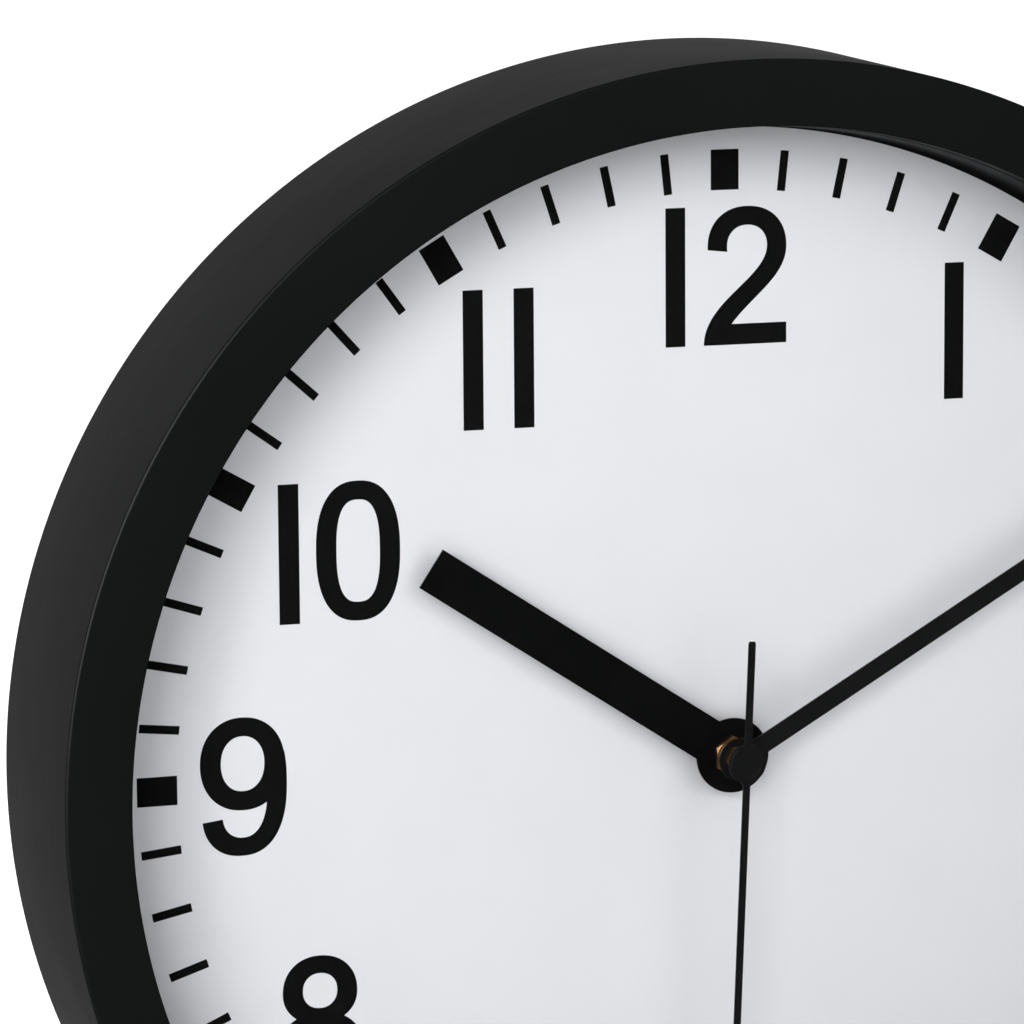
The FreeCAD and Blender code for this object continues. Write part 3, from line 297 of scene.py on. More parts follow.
def inner_wall_material():
    """Satin black inner wall with a painted sheen: painted grey behind the lens, fading to painted
    shade, dead black and matt, towards the dial.
    """
    g = Graph("case_black_painted_sheen").base((0.012, 0.012, 0.012), 0.5, specular=0.008)
    lens_back = box("lens")[1].y
    depth = DIAL_FRONT - lens_back
    split = g.node("ShaderNodeSeparateXYZ")
    g.wire(g.place, split.inputs["Vector"])
    fade_start = lens_back + 0.25 * depth
    fade_end = lens_back + 0.7 * depth
    inwards = g.ramp(split.outputs["Y"], fade_start, fade_end, 0.0, 1.0)
    # painted sheen and painted shade: grey near the lens, fading to near black towards the dial
    g.color(g.mix_color(inwards, (0.022, 0.0225, 0.023), (0.0012, 0.0013, 0.0013)))
    drift = g.spread(g.noise(30.0, 4.0), -0.04, 0.04)
    g.roughness(g.math("ADD", g.ramp(inwards, 0.0, 1.0, 0.4, 0.9), drift))
    g.bump(g.noise(6000.0, 2.0), 0.06, 0.015 * MM)
    return g.material


def dial_material():
    """White coated dial sheet with a barely visible tooth and mottling."""
    g = Graph("dial_white_coating").base((0.80, 0.80, 0.83), 0.55, specular=0.3)
    mottle = g.noise(45.0, 5.0, 0.6)
    tooth = g.noise(5200.0, 3.0)
    patches = g.ramp(mottle, 0.35, 0.65, 0.0, 1.0)
    g.color(g.mix_color(patches, (0.806, 0.802, 0.834), (0.820, 0.815, 0.846)))
    g.roughness(g.spread(mottle, 0.5, 0.6))
    g.bump(tooth, 0.08, 0.02 * MM)
    return g.material


def ink_material():
    """Screen-printed black, very slightly speckled."""
    g = Graph("dial_black_ink").base((0.003, 0.003, 0.003), 0.5, specular=0.2)
    speckle = g.noise(3800.0, 3.0)
    g.color(g.mix_color(speckle, (0.0024, 0.0024, 0.0024), (0.0038, 0.0038, 0.0038)))
    g.roughness(g.spread(speckle, 0.42, 0.58))
    return g.material


def hand_material(name, shade):
    """Satin black paint on sheet metal, with a slight orange peel."""
    g = Graph(name).base((shade, shade, shade), 0.36, specular=0.25)
    peel = g.noise(1500.0, 2.0)
    drifting = g.noise(160.0, 3.0)
    g.color(g.mix_color(drifting, (0.8 * shade,) * 3, (1.15 * shade,) * 3))
    g.roughness(g.spread(drifting, 0.32, 0.42))
    g.bump(peel, 0.08, 0.01 * MM)
    return g.material


def lens_material():
    """Clear sheet: it mirrors a little at its faces and lets everything else through."""
    g = Graph("lens_clear")
    tree = g.tree
    tree.nodes.remove(g.shader)
    output = tree.nodes["Material Output"]
    fresnel = g.node("ShaderNodeFresnel")
    fresnel.inputs["IOR"].default_value = 1.38
    clear = g.node("ShaderNodeBsdfTransparent")
    clear.inputs["Color"].default_value = (0.985, 0.99, 0.99, 1)
    mirror = g.node("ShaderNodeBsdfGlossy")
    mirror.inputs["Roughness"].default_value = 0.1
    join = g.node("ShaderNodeMixShader")
    g.wire(fresnel.outputs["Fac"], join.inputs["Fac"])
    g.wire(clear.outputs["BSDF"], join.inputs[1])
    g.wire(mirror.outputs["BSDF"], join.inputs[2])
    g.wire(join.outputs["Shader"], output.inputs["Surface"])
    return g.material


def copper_material():
    """Enamelled wire wound round the bobbin, whose axis is X."""
    g = Graph("copper_winding").base((0.62, 0.22, 0.08), 0.3, metallic=1.0)
    turns = g.node("ShaderNodeTexWave", wave_type="BANDS", bands_direction="X")
    turns.inputs["Scale"].default_value = 2400.0
    turns.inputs["Distortion"].default_value = 0.6
    g.wire(g.place, turns.inputs["Vector"])
    g.color(g.mix_color(turns.outputs["Fac"], (0.30, 0.09, 0.03), (0.68, 0.25, 0.10)))
    g.bump(turns.outputs["Fac"], 0.6, 0.08 * MM)
    return g.material


def board_material():
    """Green solder mask over copper tracks."""
    g = Graph("board_solder_mask").base((0.02, 0.13, 0.05), 0.35)
    tracks = g.node("ShaderNodeTexBrick")
    tracks.inputs["Scale"].default_value = 420.0
    tracks.inputs["Color1"].default_value = (0.018, 0.12, 0.045, 1)
    tracks.inputs["Color2"].default_value = (0.022, 0.15, 0.055, 1)
    tracks.inputs["Mortar"].default_value = (0.05, 0.26, 0.09, 1)
    tracks.inputs["Mortar Size"].default_value = 0.06
    g.wire(g.place, tracks.inputs["Vector"])
    g.color(tracks.outputs["Color"])
    g.bump(tracks.outputs["Fac"], 0.3, 0.03 * MM)
    return g.material


def jacket_material():
    """Printed shrink sleeve of the cell: a metallic grey body and a copper-coloured end band."""
    body_share = 0.72
    blur = 0.05 * MM
    g = Graph("cell_sleeve").base((0.05, 0.055, 0.06), 0.28, metallic=0.4)
    low, high = box("battery")
    split = g.node("ShaderNodeSeparateXYZ")
    g.wire(g.place, split.inputs["Vector"])
    border = low.x + (high.x - low.x) * body_share
    share = g.ramp(split.outputs["X"], border - blur, border + blur, 0.0, 1.0)
    scuffs = g.noise(300.0, 6.0, 0.7)
    g.color(g.mix_color(share, (0.045, 0.05, 0.055), (0.55, 0.26, 0.10)))
    g.roughness(g.spread(scuffs, 0.22, 0.38))
    g.bump(scuffs, 0.05, 0.03 * MM)
    return g.material


MATERIALS = {
    "case": case_material(),
    "inner_wall": inner_wall_material(),
    "dial": dial_material(),
    "ink": ink_material(),
    "hand": hand_material("hand_black_paint", 0.0032),
    # painted light: the minute and second hands get a lighter copy of the same black paint,
    # standing for the light they catch
    "front_hand_painted_light": hand_material("hand_black_paint_painted_light", 0.0078),
    "lens": lens_material(),
    "plate": plastic("back_plate_black", (0.018, 0.018, 0.019), 0.55, 2600.0, 0.35),
    "movement": plastic("movement_black", (0.014, 0.014, 0.014), 0.5, 3200.0, 0.3),
    "acetal": plastic("acetal_white", (0.72, 0.71, 0.66), 0.42, 5000.0, 0.08),
    "tube": plastic("acetal_tube", (0.62, 0.62, 0.61), 0.40, 5000.0, 0.06),
    "knob": plastic("knob_white", (0.70, 0.69, 0.64), 0.45, 4000.0, 0.15),
    "rubber": plastic("washer_rubber", (0.02, 0.02, 0.02), 0.75, 1800.0, 0.3, specular=0.3),
    "epoxy": plastic("chip_epoxy", (0.008, 0.008, 0.008), 0.2, 800.0, 0.05),
    "brass": metal("turned_brass", (0.47, 0.25, 0.105), 0.42),
    "steel": metal("turned_steel", (0.55, 0.55, 0.56), 0.3),
    "zinc": metal("zinc_plate", (0.60, 0.61, 0.62), 0.32, marks=1500.0),
    "nickel": metal("nickel_strip", (0.66, 0.64, 0.60), 0.22, marks=900.0),
    "magnet": metal("sintered_magnet", (0.12, 0.12, 0.13), 0.45),
    "can": metal("crystal_can", (0.72, 0.73, 0.75), 0.2),
    "copper": copper_material(),
    "board": board_material(),
    "sleeve": jacket_material(),
}

# ---------------------------------------------------------------- mesh helpers


def add_piece(name, mesh, material, body, replaces=(), smooth=30.0, bevel=None):
    """Wraps a bmesh as a finished piece of the clock that rides on a body."""
    bmesh.ops.remove_doubles(mesh, verts=mesh.verts, dist=1e-7)
    bmesh.ops.recalc_face_normals(mesh, faces=mesh.faces)
    data = bpy.data.meshes.new(name)
    mesh.to_mesh(data)
    mesh.free()
    piece = bpy.data.objects.new(name, data)
    bpy.context.scene.collection.objects.link(piece)
    data.materials.append(MATERIALS[material])
    if bevel:
        edge = piece.modifiers.new("edges", "BEVEL")
        edge.width = bevel
        edge.segments = 3
        edge.limit_method = "ANGLE"
        edge.angle_limit = math.radians(28)
        edge.harden_normals = True
    data.shade_smooth()
    data.set_sharp_from_angle(angle=math.radians(smooth))
    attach(piece, body)
    if replaces:
        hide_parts(*replaces)
    return piece


def arc_corner(before, corner, after, radius, steps):
    """Points of the round that replaces one corner of an outline."""
    corner, before, after = Vector(corner), Vector(before), Vector(after)
    to_before = (before - corner).normalized()
    to_after = (after - corner).normalized()
    opening = to_before.angle(to_after)
    reach = radius / math.tan(opening / 2)
    centre = corner + (to_before + to_after).normalized() * radius / math.sin(opening / 2)
    start = corner + to_before * reach - centre
    end = corner + to_after * reach - centre
    turn = math.atan2(start.x * end.y - start.y * end.x, start.dot(end))
    points = []
    for i in range(steps + 1):
        angle = turn * i / steps
        points.append(centre + Matrix.Rotation(angle, 2) @ start)
    return points


def rounded_outline(corners, steps=6):
    """Outline from (x, y, radius) corners, each rounded by its own radius."""
    points = []
    count = len(corners)
    for i, (x, y, radius) in enumerate(corners):
        if radius:
            before = corners[i - 1][:2]
            after = corners[(i + 1) % count][:2]
            points += arc_corner(before, (x, y), after, radius, steps)
        else:
            points.append(Vector((x, y)))
    return points


def lathe(outline, segments, centre=(0.0, 0.0)):
    """Revolves a closed (radius, y) outline about an axis along Y."""
    mesh = bmesh.new()
    rings = []
    for i in range(segments):
        angle = 2 * math.pi * i / segments
        across, up = math.sin(angle), math.cos(angle)
        places = [(centre[0] + r * across, y, centre[1] + r * up) for r, y in outline]
        rings.append([mesh.verts.new(place) for place in places])
    count = len(outline)
    for i in range(segments):
        here, there = rings[i], rings[(i + 1) % segments]
        for j in range(count):
            k = (j + 1) % count
            corners = [here[j], here[k], there[k], there[j]]
            if outline[j][0] < 1e-9 and outline[k][0] < 1e-9:
                continue
            if outline[j][0] < 1e-9:
                corners = [here[j], here[k], there[k]]
            elif outline[k][0] < 1e-9:
                corners = [here[j], here[k], there[j]]
            mesh.faces.new(corners)
    return mesh


def signed_area(loop):
    """Area of a closed outline, negative when it runs clockwise."""
    sides = zip(loop, loop[1:] + loop[:1])
    return sum(ax * bz - bx * az for (ax, az), (bx, bz) in sides) / 2


def slab(outlines, back, front):
    """Prism along Y over the union of closed (x, z) outlines; one may be (outer, [holes])."""
    points, loops, shapes = [], [], []
    for outline in outlines:
        outer, holes = outline if isinstance(outline, tuple) else (outline, [])
        shapes.append((len(loops), set(range(len(loops) + 1, len(loops) + 1 + len(holes)))))
        for loop in [outer] + holes:
            anticlockwise = [tuple(point) for point in loop]
            if signed_area(anticlockwise) < 0:
                anticlockwise.reverse()
            loops.append(list(range(len(points), len(points) + len(loop))))
            points += [Vector(point) for point in anticlockwise]
    spots, _, triangles, _, _, sources = delaunay_2d_cdt(points, [], loops, 1, 1e-8)
    mesh = bmesh.new()
    verts = [mesh.verts.new((spot.x, front, spot.y)) for spot in spots]
    faces = []
    for triangle, covering in zip(triangles, sources):
        if any(outer in covering and not holes & set(covering) for outer, holes in shapes):
            faces.append(mesh.faces.new([verts[i] for i in triangle]))
    bmesh.ops.delete(mesh, geom=[v for v in verts if not v.link_faces], context="VERTS")
    grown = bmesh.ops.extrude_face_region(mesh, geom=faces, use_keep_orig=True)
    far_side = [item for item in grown["geom"] if isinstance(item, bmesh.types.BMVert)]
    bmesh.ops.translate(mesh, verts=far_side, vec=(0, back - front, 0))
    merge_flat_faces(mesh)
    return mesh


def merge_flat_faces(mesh):
    flat = math.radians(0.5)
    bmesh.ops.dissolve_limit(mesh, angle_limit=flat, verts=mesh.verts, edges=mesh.edges)


def circle(radius, segments):
    angles = [2 * math.pi * i / segments for i in range(segments)]
    return [(radius * math.cos(angle), radius * math.sin(angle)) for angle in angles]


def arc(radius, start, end, steps):
    """Points on an arc about the hands' axis, between directions in degrees from +X."""
    angles = [math.radians(start + (end - start) * i / steps) for i in range(steps + 1)]
    return [(radius * math.cos(angle), radius * math.sin(angle)) for angle in angles]


def turned(points, clockwise):
    """Turns (x, z) points clockwise, as seen from the front, about the hands' axis."""
    angle = math.radians(clockwise)
    cos, sin = math.cos(angle), math.sin(angle)
    return [(x * cos + z * sin, z * cos - x * sin) for x, z in points]


# ---------------------------------------------------------------- case and lens


def build_case():
    """Ring with a flat front, a tapered outside and a funnel that leads in to the dial."""
    sight_round = 0.1 * MM
    lens_low, lens_high = box("lens")
    inner_slope = (WINDOW_RADIUS - SIGHT_RADIUS) / (DIAL_FRONT - CASE_FRONT)

    def inner(y):
        return WINDOW_RADIUS - inner_slope * (y - CASE_FRONT)

    outline = rounded_outline([
        (WINDOW_RADIUS, CASE_FRONT, INNER_ROUND),
        (FRONT_RADIUS, CASE_FRONT, EDGE_ROUND),
        (BACK_RADIUS, CASE_BACK, 0.5 * MM),
        (BACK_RADIUS - CASE_WALL, CASE_BACK, 0.4 * MM),
        (FRONT_RADIUS - CASE_WALL, RING_BACK, 0.6 * MM),
        (WINDOW_RADIUS + CASE_WALL, RING_BACK, 0.6 * MM),
        (SIGHT_RADIUS + CASE_WALL, DIAL_FRONT, 0.2 * MM),
        (SIGHT_RADIUS, DIAL_FRONT, sight_round),
        (inner(lens_high.y), lens_high.y, 0),
        (inner(lens_high.y) + LENS_SEAT, lens_high.y, 0),
        (inner(lens_low.y) + LENS_SEAT, lens_low.y, 0),
        (inner(lens_low.y), lens_low.y, 0.05 * MM),
    ], steps=8)
    ring = add_piece("case_ring", lathe(outline, 480), "case", "case",
                     replaces=["case_rim"], smooth=25)
    # the inner wall, between its rounds, has a material of its own, with a painted sheen and
    # painted shade
    ring.data.materials.append(MATERIALS["inner_wall"])
    wall_start = CASE_FRONT + INNER_ROUND
    wall_end = DIAL_FRONT - sight_round
    for face in ring.data.polygons:
        across = math.hypot(face.center.x, face.center.z)
        if across < WINDOW_RADIUS + LENS_SEAT and wall_start < face.center.y < wall_end:
            face.material_index = 1


def build_bosses():
    """Tubes behind the front ring that the back plate's screws bite into."""
    outline = [(BOSS_HOLE_RADIUS, RING_BACK), (BOSS_RADIUS, RING_BACK),
               (BOSS_RADIUS, DIAL_BACK), (BOSS_HOLE_RADIUS, DIAL_BACK)]
    bosses = bmesh.new()
    for i in range(BOSS_COUNT):
        angle = 2 * math.pi * i / BOSS_COUNT
        centre = (BOSS_PITCH_RADIUS * math.sin(angle), BOSS_PITCH_RADIUS * math.cos(angle))
        boss = lathe(outline, 32, centre)
        scratch = bpy.data.meshes.new("boss")
        boss.to_mesh(scratch)
        boss.free()
        bosses.from_mesh(scratch)
        bpy.data.meshes.remove(scratch)
    add_piece("case_bosses", bosses, "case", "case", replaces=["case_rim"])


def build_lens():
    low, high = box("lens")
    radius = high.x
    edge = 0.3 * MM
    outline = rounded_outline([
        (0, low.y, 0),
        (radius, low.y, edge),
        (radius, high.y, edge),
        (0, high.y, 0),
    ], steps=4)
    add_piece("lens_pane", lathe(outline, 240), "lens", "case", replaces=["lens"])


# ---------------------------------------------------------------- dial and its print


def build_dial():
    radius = dial_high.x
    edge = 0.12 * MM
    outline = rounded_outline([
        (DIAL_HOLE_RADIUS, DIAL_FRONT, edge),
        (radius, DIAL_FRONT, edge),
        (radius, DIAL_BACK, edge),
        (DIAL_HOLE_RADIUS, DIAL_BACK, edge),
    ], steps=3)
    add_piece("dial_sheet", lathe(outline, 240), "dial", "case", replaces=["dial"])


def bar(left, right, bottom, top):
    return [(left, bottom), (right, bottom), (right, top), (left, top)]


def build_ticks():
    outlines = []
    for minute in range(60):
        width = HOUR_TICK_WIDTH if minute % 5 == 0 else MINUTE_TICK_WIDTH
        outlines.append(turned(bar(-width / 2, width / 2, TICK_INNER, TICK_OUTER), 6 * minute))
    mesh = slab(outlines, DIAL_FRONT, DIAL_FRONT - INK_THICKNESS)
    add_piece("dial_ticks", mesh, "ink", "case")


# Digits are drawn in millimetres from the lower left corner of their cell. Round strokes are
# superellipses: "squareness" 2 is an ellipse, and more makes it squarer.
DIGIT_HEIGHT = 28.5
STROKE = 4.25
CAP_STROKE = 3.85  # the same stroke at the top and bottom of a round


def oval(centre, wide, tall, start=0, end=360, squareness=2.15):
    """Points on a superellipse with the given half width and half height."""
    steps = 56
    power = 2 / squareness
    points = []
    for i in range(steps + 1):
        angle = math.radians(start + (end - start) * i / steps)
        cos, sin = math.cos(angle), math.sin(angle)
        points.append((centre[0] + wide * math.copysign(abs(cos) ** power, cos),
                       centre[1] + tall * math.copysign(abs(sin) ** power, sin)))
    return points


def egg(centre, wide, up, down):
    """Closed oval whose upper and lower halves have their own heights."""
    return oval(centre, wide, up, 0, 180)[:-1] + oval(centre, wide, down, 180, 360)[:-1]


def open_loop(centre, wide, tall, start, end):
    """Round stroke from one direction to another."""
    outer = oval(centre, wide, tall, start, end)
    return outer + oval(centre, wide - STROKE, tall - CAP_STROKE, end, start)


def bend(start, start_pull, end_pull, end):
    """Points on a cubic Bezier curve between two points."""
    steps = 24
    points = []
    for i in range(steps + 1):
        t = i / steps
        weights = ((1 - t) ** 3, 3 * t * (1 - t) ** 2, 3 * t * t * (1 - t), t ** 3)
        knots = (start, start_pull, end_pull, end)
        points.append((sum(w * k[0] for w, k in zip(weights, knots)),
                       sum(w * k[1] for w, k in zip(weights, knots))))
    return points


def digit_0():
    outer = oval((8.8, 14.25), 8.8, 14.3, squareness=2.42)[:-1]
    inner = oval((8.8, 14.25), 4.55, 10.45, squareness=2.65)[:-1]
    return [(outer, [inner])], 17.6


def digit_1():
    return [bar(0, STROKE, 0, DIGIT_HEIGHT)], STROKE


def digit_2():
    """The bowl runs straight into a diagonal that bends down to the foot's left end."""
    right = 17.95
    bowl_outside = oval((9.4, 20.0), right - 9.4, 8.4, 182, 0, 2.2)
    bowl_inside = oval((9.4, 20.2), 4.35, 4.35, 193, 0, 2.15)
    lower_edge = bend((right, 20.0), (right, 13.7), (10.55, 9.95), (6.02, STROKE))
    upper_edge = bend((13.75, 20.2), (13.7, 13.5), (0, 9.15), (0, 0))
    outline = bowl_outside + lower_edge[1:] + [(right, STROKE), (right, 0)]
    outline += upper_edge[::-1] + bowl_inside[-2::-1]
    return [outline], right


def digit_3():
    upper = open_loop((8.95, 20.85), 7.9, 7.7, 165, -90)
    lower = open_loop((8.95, 8.85), 8.95, 8.95, 90, -165)
    middle = bar(6.4, 9.2, 13.2, 13.2 + CAP_STROKE)
    return [upper, lower, middle], 17.9


def digit_4():
    width = 18.6
    stem = 14.9
    bar_top = 10.2
    diagonal = [(0, bar_top), (0, bar_top - STROKE), (4.6, bar_top), (stem - STROKE, 21.5),
                (stem - STROKE, DIGIT_HEIGHT)]
    return [
        bar(stem - STROKE, stem, 0, DIGIT_HEIGHT),
        bar(0, width, bar_top - STROKE, bar_top),
        diagonal,
    ], width


def digit_5():
    width = 17.9
    bowl = open_loop((8.95, 9.3), 8.95, 9.4, 128, -165)
    back = [(2.2, DIGIT_HEIGHT), (1.1, 12.3), (5.1, 13.6), (5.9, DIGIT_HEIGHT)]
    return [bowl, back, bar(2.2, 16.6, DIGIT_HEIGHT - STROKE, DIGIT_HEIGHT)], width


def digit_6():
    shapes, width = digit_9()
    return [flipped(shape, width) for shape in shapes], width


def digit_7():
    width = 17.0
    top = DIGIT_HEIGHT - STROKE
    right_edge = bend((width, top), (11.5, 17.5), (9.4, 9), (9.0, 0))
    left_edge = bend((4.7, 0), (5.2, 9), (7.6, 17.5), (12.2, top))
    return [bar(0, width, top, DIGIT_HEIGHT), right_edge + left_edge], width


def digit_8():
    upper = (egg((8.95, 20.85), 7.86, 7.7, 6.6), [oval((8.95, 21.2), 3.63, 3.67)[:-1]])
    lower = (egg((8.95, 9.05), 8.95, 7.65, 9.05), [oval((8.95, 8.95), 4.65, 5.1)[:-1]])
    return [upper, lower], 17.9


def digit_9():
    """A round bowl whose right side runs on down into a tail that curls to the left."""
    bowl = (oval((8.85, 18.9), 8.8, 9.55)[:-1], [oval((8.9, 18.95), 4.53, 5.65)[:-1]])
    outside = oval((8.4, 15.0), 9.65, 15.0, 20, -90, 2.4)[:-1]
    outside += oval((8.4, 8.5), 8.05, 8.5, -90, -173, 2.2)
    inside = oval((8.7, 8.3), 4.1, 4.55, -174, -90)[:-1]
    inside += oval((8.7, 13.0), 5.2, 9.25, -90, 0, 2.3)
    hidden_corner = (13.9, 20.0)  # within the bowl's stroke
    return [bowl, outside + inside + [hidden_corner]], 18.0


def flipped(shape, width):
    """Half turn of an outline within its cell."""
    if isinstance(shape, tuple):
        outer, holes = shape
        return (flipped(outer, width), [flipped(hole, width) for hole in holes])
    return [(width - x, DIGIT_HEIGHT - z) for x, z in shape]


DIGITS = [
    digit_0, digit_1, digit_2, digit_3, digit_4,
    digit_5, digit_6, digit_7, digit_8, digit_9,
]
DIGIT_GAP = {10: 3.5, 11: 6.5, 12: 4.0}
# middle of each numeral in millimetres, across and up from the hands' axis
NUMERAL_PLACES = {
    1: (50.5, 85.6),
    2: (85.8, 49.5),
    3: (103.2, -0.2),
    4: (88.0, -50.7),
    5: (50.2, -87.0),
    6: (0.0, -99.1),
    7: (-50.2, -87.0),
    8: (-87.6, -50.7),
    9: (-103.0, -0.2),
    10: (-82.3, 46.6),
    11: (-48.5, 84.1),
    12: (0.3, 99.1),
}


def moved(shape, across, up, scale=1.0):
    """Outline moved in millimetres, then scaled."""
    if isinstance(shape, tuple):
        outer, holes = shape
        moved_holes = [moved(hole, across, up, scale) for hole in holes]
        return (moved(outer, across, up, scale), moved_holes)
    return [((x + across) * scale, (z + up) * scale) for x, z in shape]


def numeral_shapes(number):
    """Outlines of a numeral's digits side by side in millimetres, with its width."""
    shapes = []
    width = 0.0
    for i, digit in enumerate(str(number)):
        made, digit_width = DIGITS[int(digit)]()
        start = width + (DIGIT_GAP[number] if i else 0)
        shapes += [moved(shape, start, 0) for shape in made]
        width = start + digit_width
    return shapes, width


def build_numerals():
    for number, (across, up) in NUMERAL_PLACES.items():
        shapes, width = numeral_shapes(number)
        left = across - width / 2
        bottom = up - DIGIT_HEIGHT / 2
        outlines = [moved(shape, left, bottom, MM) for shape in shapes]
        mesh = slab(outlines, DIAL_FRONT, DIAL_FRONT - INK_THICKNESS)
        add_piece(f"numeral_{number:02d}", mesh, "ink", "case")


# ---------------------------------------------------------------- hands


def hand_outline(eye, half_wide, length):
    """Closed outline of a round eye with a straight square-ended bar towards 12."""
    leave = math.degrees(math.asin(half_wide / eye))
    eye_arc = arc(eye, 90 + leave, 450 - leave, steps=110)
    return eye_arc + [(half_wide, length), (-half_wide, length)]


def build_hour_hand():
    low, high = box("hour_hand")
    outer = turned(hand_outline(HOUR_EYE_RADIUS, HOUR_HALF_WIDTH, HOUR_LENGTH), HOUR_ANGLE)
    mesh = slab([(outer, [circle(BUSHING_NECK_RADIUS, 64)])], high.y, low.y)
    add_piece("hour_hand_sheet", mesh, "hand", "hour_train",
              replaces=["hour_hand"], bevel=HAND_EDGE_ROUND)


def build_minute_hand():
    low, high = box("minute_hand")
    outer = turned(hand_outline(MINUTE_EYE_RADIUS, MINUTE_HALF_WIDTH, MINUTE_LENGTH), MINUTE_ANGLE)
    mesh = slab([(outer, [circle(MINUTE_SHAFT_RADIUS, 48)])], high.y, low.y)
    add_piece("minute_hand_sheet", mesh, "front_hand_painted_light", "minute_train",
              replaces=["minute_hand"], bevel=HAND_EDGE_ROUND)


def second_hand_outline():
    """Round hub with a needle that starts in a wider neck, and a tail with cut corners."""
    half = SECOND_HALF_WIDTH
    rise = math.degrees(math.asin(SECOND_NECK_HALF_WIDTH / SECOND_HUB_RADIUS))
    drop = math.degrees(math.asin(half / SECOND_HUB_RADIUS))
    neck_end = SECOND_HUB_RADIUS + SECOND_NECK_LENGTH
    tail_shoulder = TAIL_CUT_ALONG - SECOND_TAIL
    tail_half = half - TAIL_CUT_ACROSS
    tail = [(-half, tail_shoulder), (-tail_half, -SECOND_TAIL),
            (tail_half, -SECOND_TAIL), (half, tail_shoulder)]
    needle = [(half, neck_end), (half, SECOND_LENGTH), (-half, SECOND_LENGTH), (-half, neck_end)]
    left_side = arc(SECOND_HUB_RADIUS, 90 + rise, 270 - drop, steps=40)
    right_side = arc(SECOND_HUB_RADIUS, 270 + drop, 450 - rise, steps=40)
    return left_side + tail + right_side + needle


def build_second_hand():
    low, high = box("second_hand")
    mesh = slab([turned(second_hand_outline(), SECOND_ANGLE)], high.y, low.y)
    add_piece("second_hand_sheet", mesh, "front_hand_painted_light", "second_train",
              replaces=["second_hand"], bevel=SECOND_EDGE_ROUND)


def build_second_hub_rim():
    """Raised rim pressed into the face of the second hand's hub."""
    face = box("second_hand")[0].y
    crest = face - RIM_HEIGHT
    outline = rounded_outline([
        (RIM_INNER_RADIUS, face, 0),
        (RIM_INNER_RADIUS + RIM_SLOPE_WIDTH, crest, RIM_ROUND),
        (RIM_OUTER_RADIUS - RIM_SLOPE_WIDTH, crest, RIM_ROUND),
        (RIM_OUTER_RADIUS, face, 0),
    ], steps=2)
    mesh = lathe(outline, 96)
    add_piece("second_hub_rim", mesh, "front_hand_painted_light", "second_train")


# ---------------------------------------------------------------- brass fittings


def hex_nut(flats, bore, back, front, turn, chamfer):
    """Hexagonal nut with the usual conical chamfer on its front face."""
    segments = 96
    inscribed = flats / 2
    circumradius = flats / math.sqrt(3)
    face_radius = inscribed * 0.995
    bore_chamfer = 0.1 * MM
    mesh = bmesh.new()
    rows = []
    for i in range(segments):
        angle = 2 * math.pi * i / segments
        from_flat = (angle % (math.pi / 3)) - math.pi / 6
        wide = inscribed / math.cos(from_flat)
        drop = max(0.0, (wide - inscribed) / (circumradius - inscribed)) * chamfer
        profile = [
            (bore, back),
            (wide, back),
            (wide, front + drop),
            (min(wide, face_radius), front),
            (bore + bore_chamfer, front),
            (bore, front + bore_chamfer),
        ]
        across, up = math.cos(angle + turn), math.sin(angle + turn)
        rows.append([mesh.verts.new((r * across, y, r * up)) for r, y in profile])
    for i in range(segments):
        here, there = rows[i], rows[(i + 1) % segments]
        for j in range(len(here)):
            k = (j + 1) % len(here)
            mesh.faces.new([here[j], here[k], there[k], there[j]])
    return mesh


def build_hour_bushing():
    """Hexagon in front of the hour hand, with a neck through it and a flange behind it."""
    low, high = box("hour_hand_bushing")
    hand_low, hand_high = box("hour_hand")
    hexagon = hex_nut(BUSHING_FLATS, BUSHING_BORE, hand_low.y, low.y, BUSHING_TURN, BUSHING_CHAMFER)
    add_piece("hour_bushing_hexagon", hexagon, "brass", "hour_train",
              replaces=["hour_hand_bushing"], smooth=18)
    outline = rounded_outline([
        (BUSHING_BORE, hand_low.y, 0),
        (BUSHING_NECK_RADIUS, hand_low.y, 0),
        (BUSHING_NECK_RADIUS, hand_high.y, 0),
        (BUSHING_FLANGE_RADIUS, hand_high.y, 0.1 * MM),
        (BUSHING_FLANGE_RADIUS, high.y, 0.15 * MM),
        (BUSHING_BORE, high.y, 0),
    ], steps=3)
    add_piece("hour_bushing_flange", lathe(outline, 72), "brass", "hour_train",
              replaces=["hour_hand_bushing"])


def build_minute_nut():
    low, high = box("minute_nut")
    mesh = hex_nut(MINUTE_NUT_FLATS, MINUTE_SHAFT_RADIUS, high.y, low.y, 0.0, MINUTE_NUT_CHAMFER)
    add_piece("minute_nut_hexagon", mesh, "brass", "minute_train",
              replaces=["minute_nut"], smooth=18)


# ---------------------------------------------------------------- CAD nodes kept or softened


def softened(node, name, material, body, width):
    """A copy of a CAD node's mesh with small rounds on its edges, which stands for the node."""
    mesh = bmesh.new()
    mesh.from_mesh(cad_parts[node].data)
    bmesh.ops.remove_doubles(mesh, verts=mesh.verts, dist=1e-7)
    merge_flat_faces(mesh)
    return add_piece(name, mesh, material, body, replaces=[node], bevel=width)


SOFTENED = [
    ("back_plate", "back_plate_moulding", "plate", "case", "black_plate", 0.35 * MM),
    ("movement_housing", "movement_box", "movement", "case", "movement_black", 0.18 * MM),
    ("movement_cover", "movement_lid", "movement", "case", "movement_black", 0.25 * MM),
]

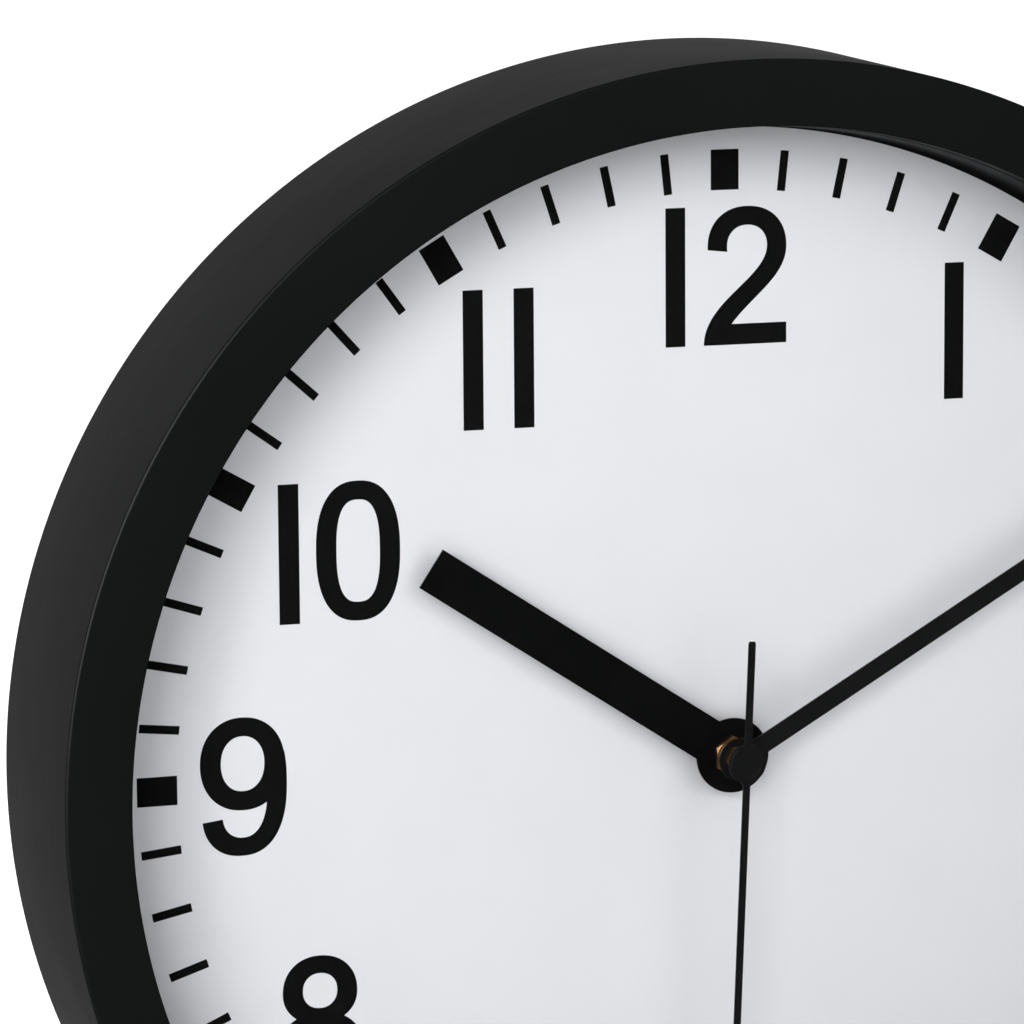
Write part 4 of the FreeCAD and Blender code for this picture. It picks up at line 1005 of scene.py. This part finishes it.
KEPT = {
    "back_plate_screws": "zinc",
    "train_bridge": "acetal",
    "mounting_bushing": "brass",
    "rubber_washer": "rubber",
    "dial_washer": "brass",
    "mounting_nut": "brass",
    "stator": "steel",
    "coil_bobbin": "acetal",
    "coil_winding": "copper",
    "circuit_board": "board",
    "clock_chip": "epoxy",
    "quartz_crystal": "can",
    "battery_contact": "nickel",
    "battery_spring": "nickel",
    "second_hand_socket": "steel",
    "seconds_arbor": "steel",
    "seconds_wheel": "acetal",
    "minute_shaft": "brass",
    "centre_wheel": "acetal",
    "hour_wheel": "tube",
    "third_wheel": "acetal",
    "intermediate_wheel": "acetal",
    "rotor_pinion": "acetal",
    "rotor_magnet": "magnet",
    "minute_works_wheel": "acetal",
    "set_knob": "knob",
    "battery": "sleeve",
}


def finish_cad_nodes():
    for node, name, material, body, slot, width in SOFTENED:
        softened(node, name, material, body, width)
    for node, material in KEPT.items():
        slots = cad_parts[node].data.materials
        for i in range(len(slots)):
            slots[i] = MATERIALS[material]


# ---------------------------------------------------------------- stage, light and camera


def build_stage():
    """Pale floor under the clock. It takes light and shadow but throws neither back."""
    mesh = bmesh.new()
    bmesh.ops.create_circle(mesh, cap_ends=True, segments=96, radius=FLOOR_RADIUS)
    data = bpy.data.meshes.new("floor")
    mesh.to_mesh(data)
    mesh.free()
    floor = bpy.data.objects.new("floor", data)
    floor.location.z = case_low.z - FLOOR_GAP
    floor.visible_diffuse = False
    floor.visible_glossy = False
    floor.visible_shadow = False
    bpy.context.scene.collection.objects.link(floor)
    g = Graph("floor_pale").base((0.86, 0.86, 0.86), 0.8, specular=0.1)
    g.color(g.mix_color(g.noise(3.0), (0.855, 0.855, 0.855), (0.865, 0.865, 0.865)))
    data.materials.append(g.material)


def add_light(name, kind, place, target, energy):
    data = bpy.data.lights.new(name, kind)
    data.energy = energy
    light = bpy.data.objects.new(name, data)
    light.location = place
    light.rotation_mode = "QUATERNION"
    light.rotation_quaternion = (target - place).to_track_quat("-Z", "Y")
    light.visible_camera = False
    bpy.context.scene.collection.objects.link(light)
    return light


def add_panel(name, around, off_face, distance, wide, tall, radiance, acts):
    """Soft box aimed at the middle of the clock's face."""
    around, off_face = math.radians(around), math.radians(off_face)
    middle = Vector((0, CASE_FRONT, 0))
    flat = math.cos(off_face)
    direction = Vector((math.sin(around) * flat, -math.sin(off_face), math.cos(around) * flat))
    power = radiance * math.pi * wide * tall
    light = add_light(name, "AREA", middle + direction * distance, middle, power)
    light.data.shape = "RECTANGLE"
    light.data.size = wide
    light.data.size_y = tall
    light.visible_diffuse = acts != "glossy"
    light.visible_glossy = acts != "diffuse"


def build_world():
    """Even light from all round, on a white surround, that glossy surfaces don't mirror."""
    world = bpy.data.worlds.new("studio")
    bpy.context.scene.world = world
    world.use_nodes = True
    world.cycles_visibility.glossy = False
    tree = world.node_tree
    rays = tree.nodes.new("ShaderNodeLightPath")
    strength = tree.nodes.new("ShaderNodeMapRange")
    tree.links.new(rays.outputs["Is Camera Ray"], strength.inputs["Value"])
    strength.inputs["To Min"].default_value = SOFT_LIGHT
    strength.inputs["To Max"].default_value = SURROUND
    background = tree.nodes["Background"]
    background.inputs["Color"].default_value = (1, 1, 1, 1)
    tree.links.new(strength.outputs["Result"], background.inputs["Strength"])


def build_light():
    build_world()
    middle = Vector((0, CASE_FRONT, 0))
    above = add_light("floor_light", "SUN", middle + UP, middle, FLOOR_LIGHT)
    above.data.angle = FLOOR_LIGHT_ANGLE
    above.visible_glossy = False
    for panel in PANELS:
        add_panel(*panel)
    bpy.context.scene.view_settings.view_transform = "Standard"


def build_camera():
    data = bpy.data.cameras.new("camera")
    data.lens = FOCAL_LENGTH
    data.sensor_width = SENSOR_WIDTH
    camera = bpy.data.objects.new("camera", data)
    camera.location = CAMERA_PLACE
    camera.rotation_mode = "QUATERNION"
    level = (CAMERA_TARGET - CAMERA_PLACE).to_track_quat("-Z", "Y")
    camera.rotation_quaternion = level @ Matrix.Rotation(CAMERA_ROLL, 3, "Z").to_quaternion()
    bpy.context.scene.collection.objects.link(camera)
    bpy.context.scene.camera = camera


build_case()
build_bosses()
build_lens()
build_dial()
build_ticks()
build_numerals()
build_hour_hand()
build_minute_hand()
build_second_hand()
build_second_hub_rim()
build_hour_bushing()
build_minute_nut()
finish_cad_nodes()
build_stage()
build_light()
build_camera()

bpy.context.view_layer.update()
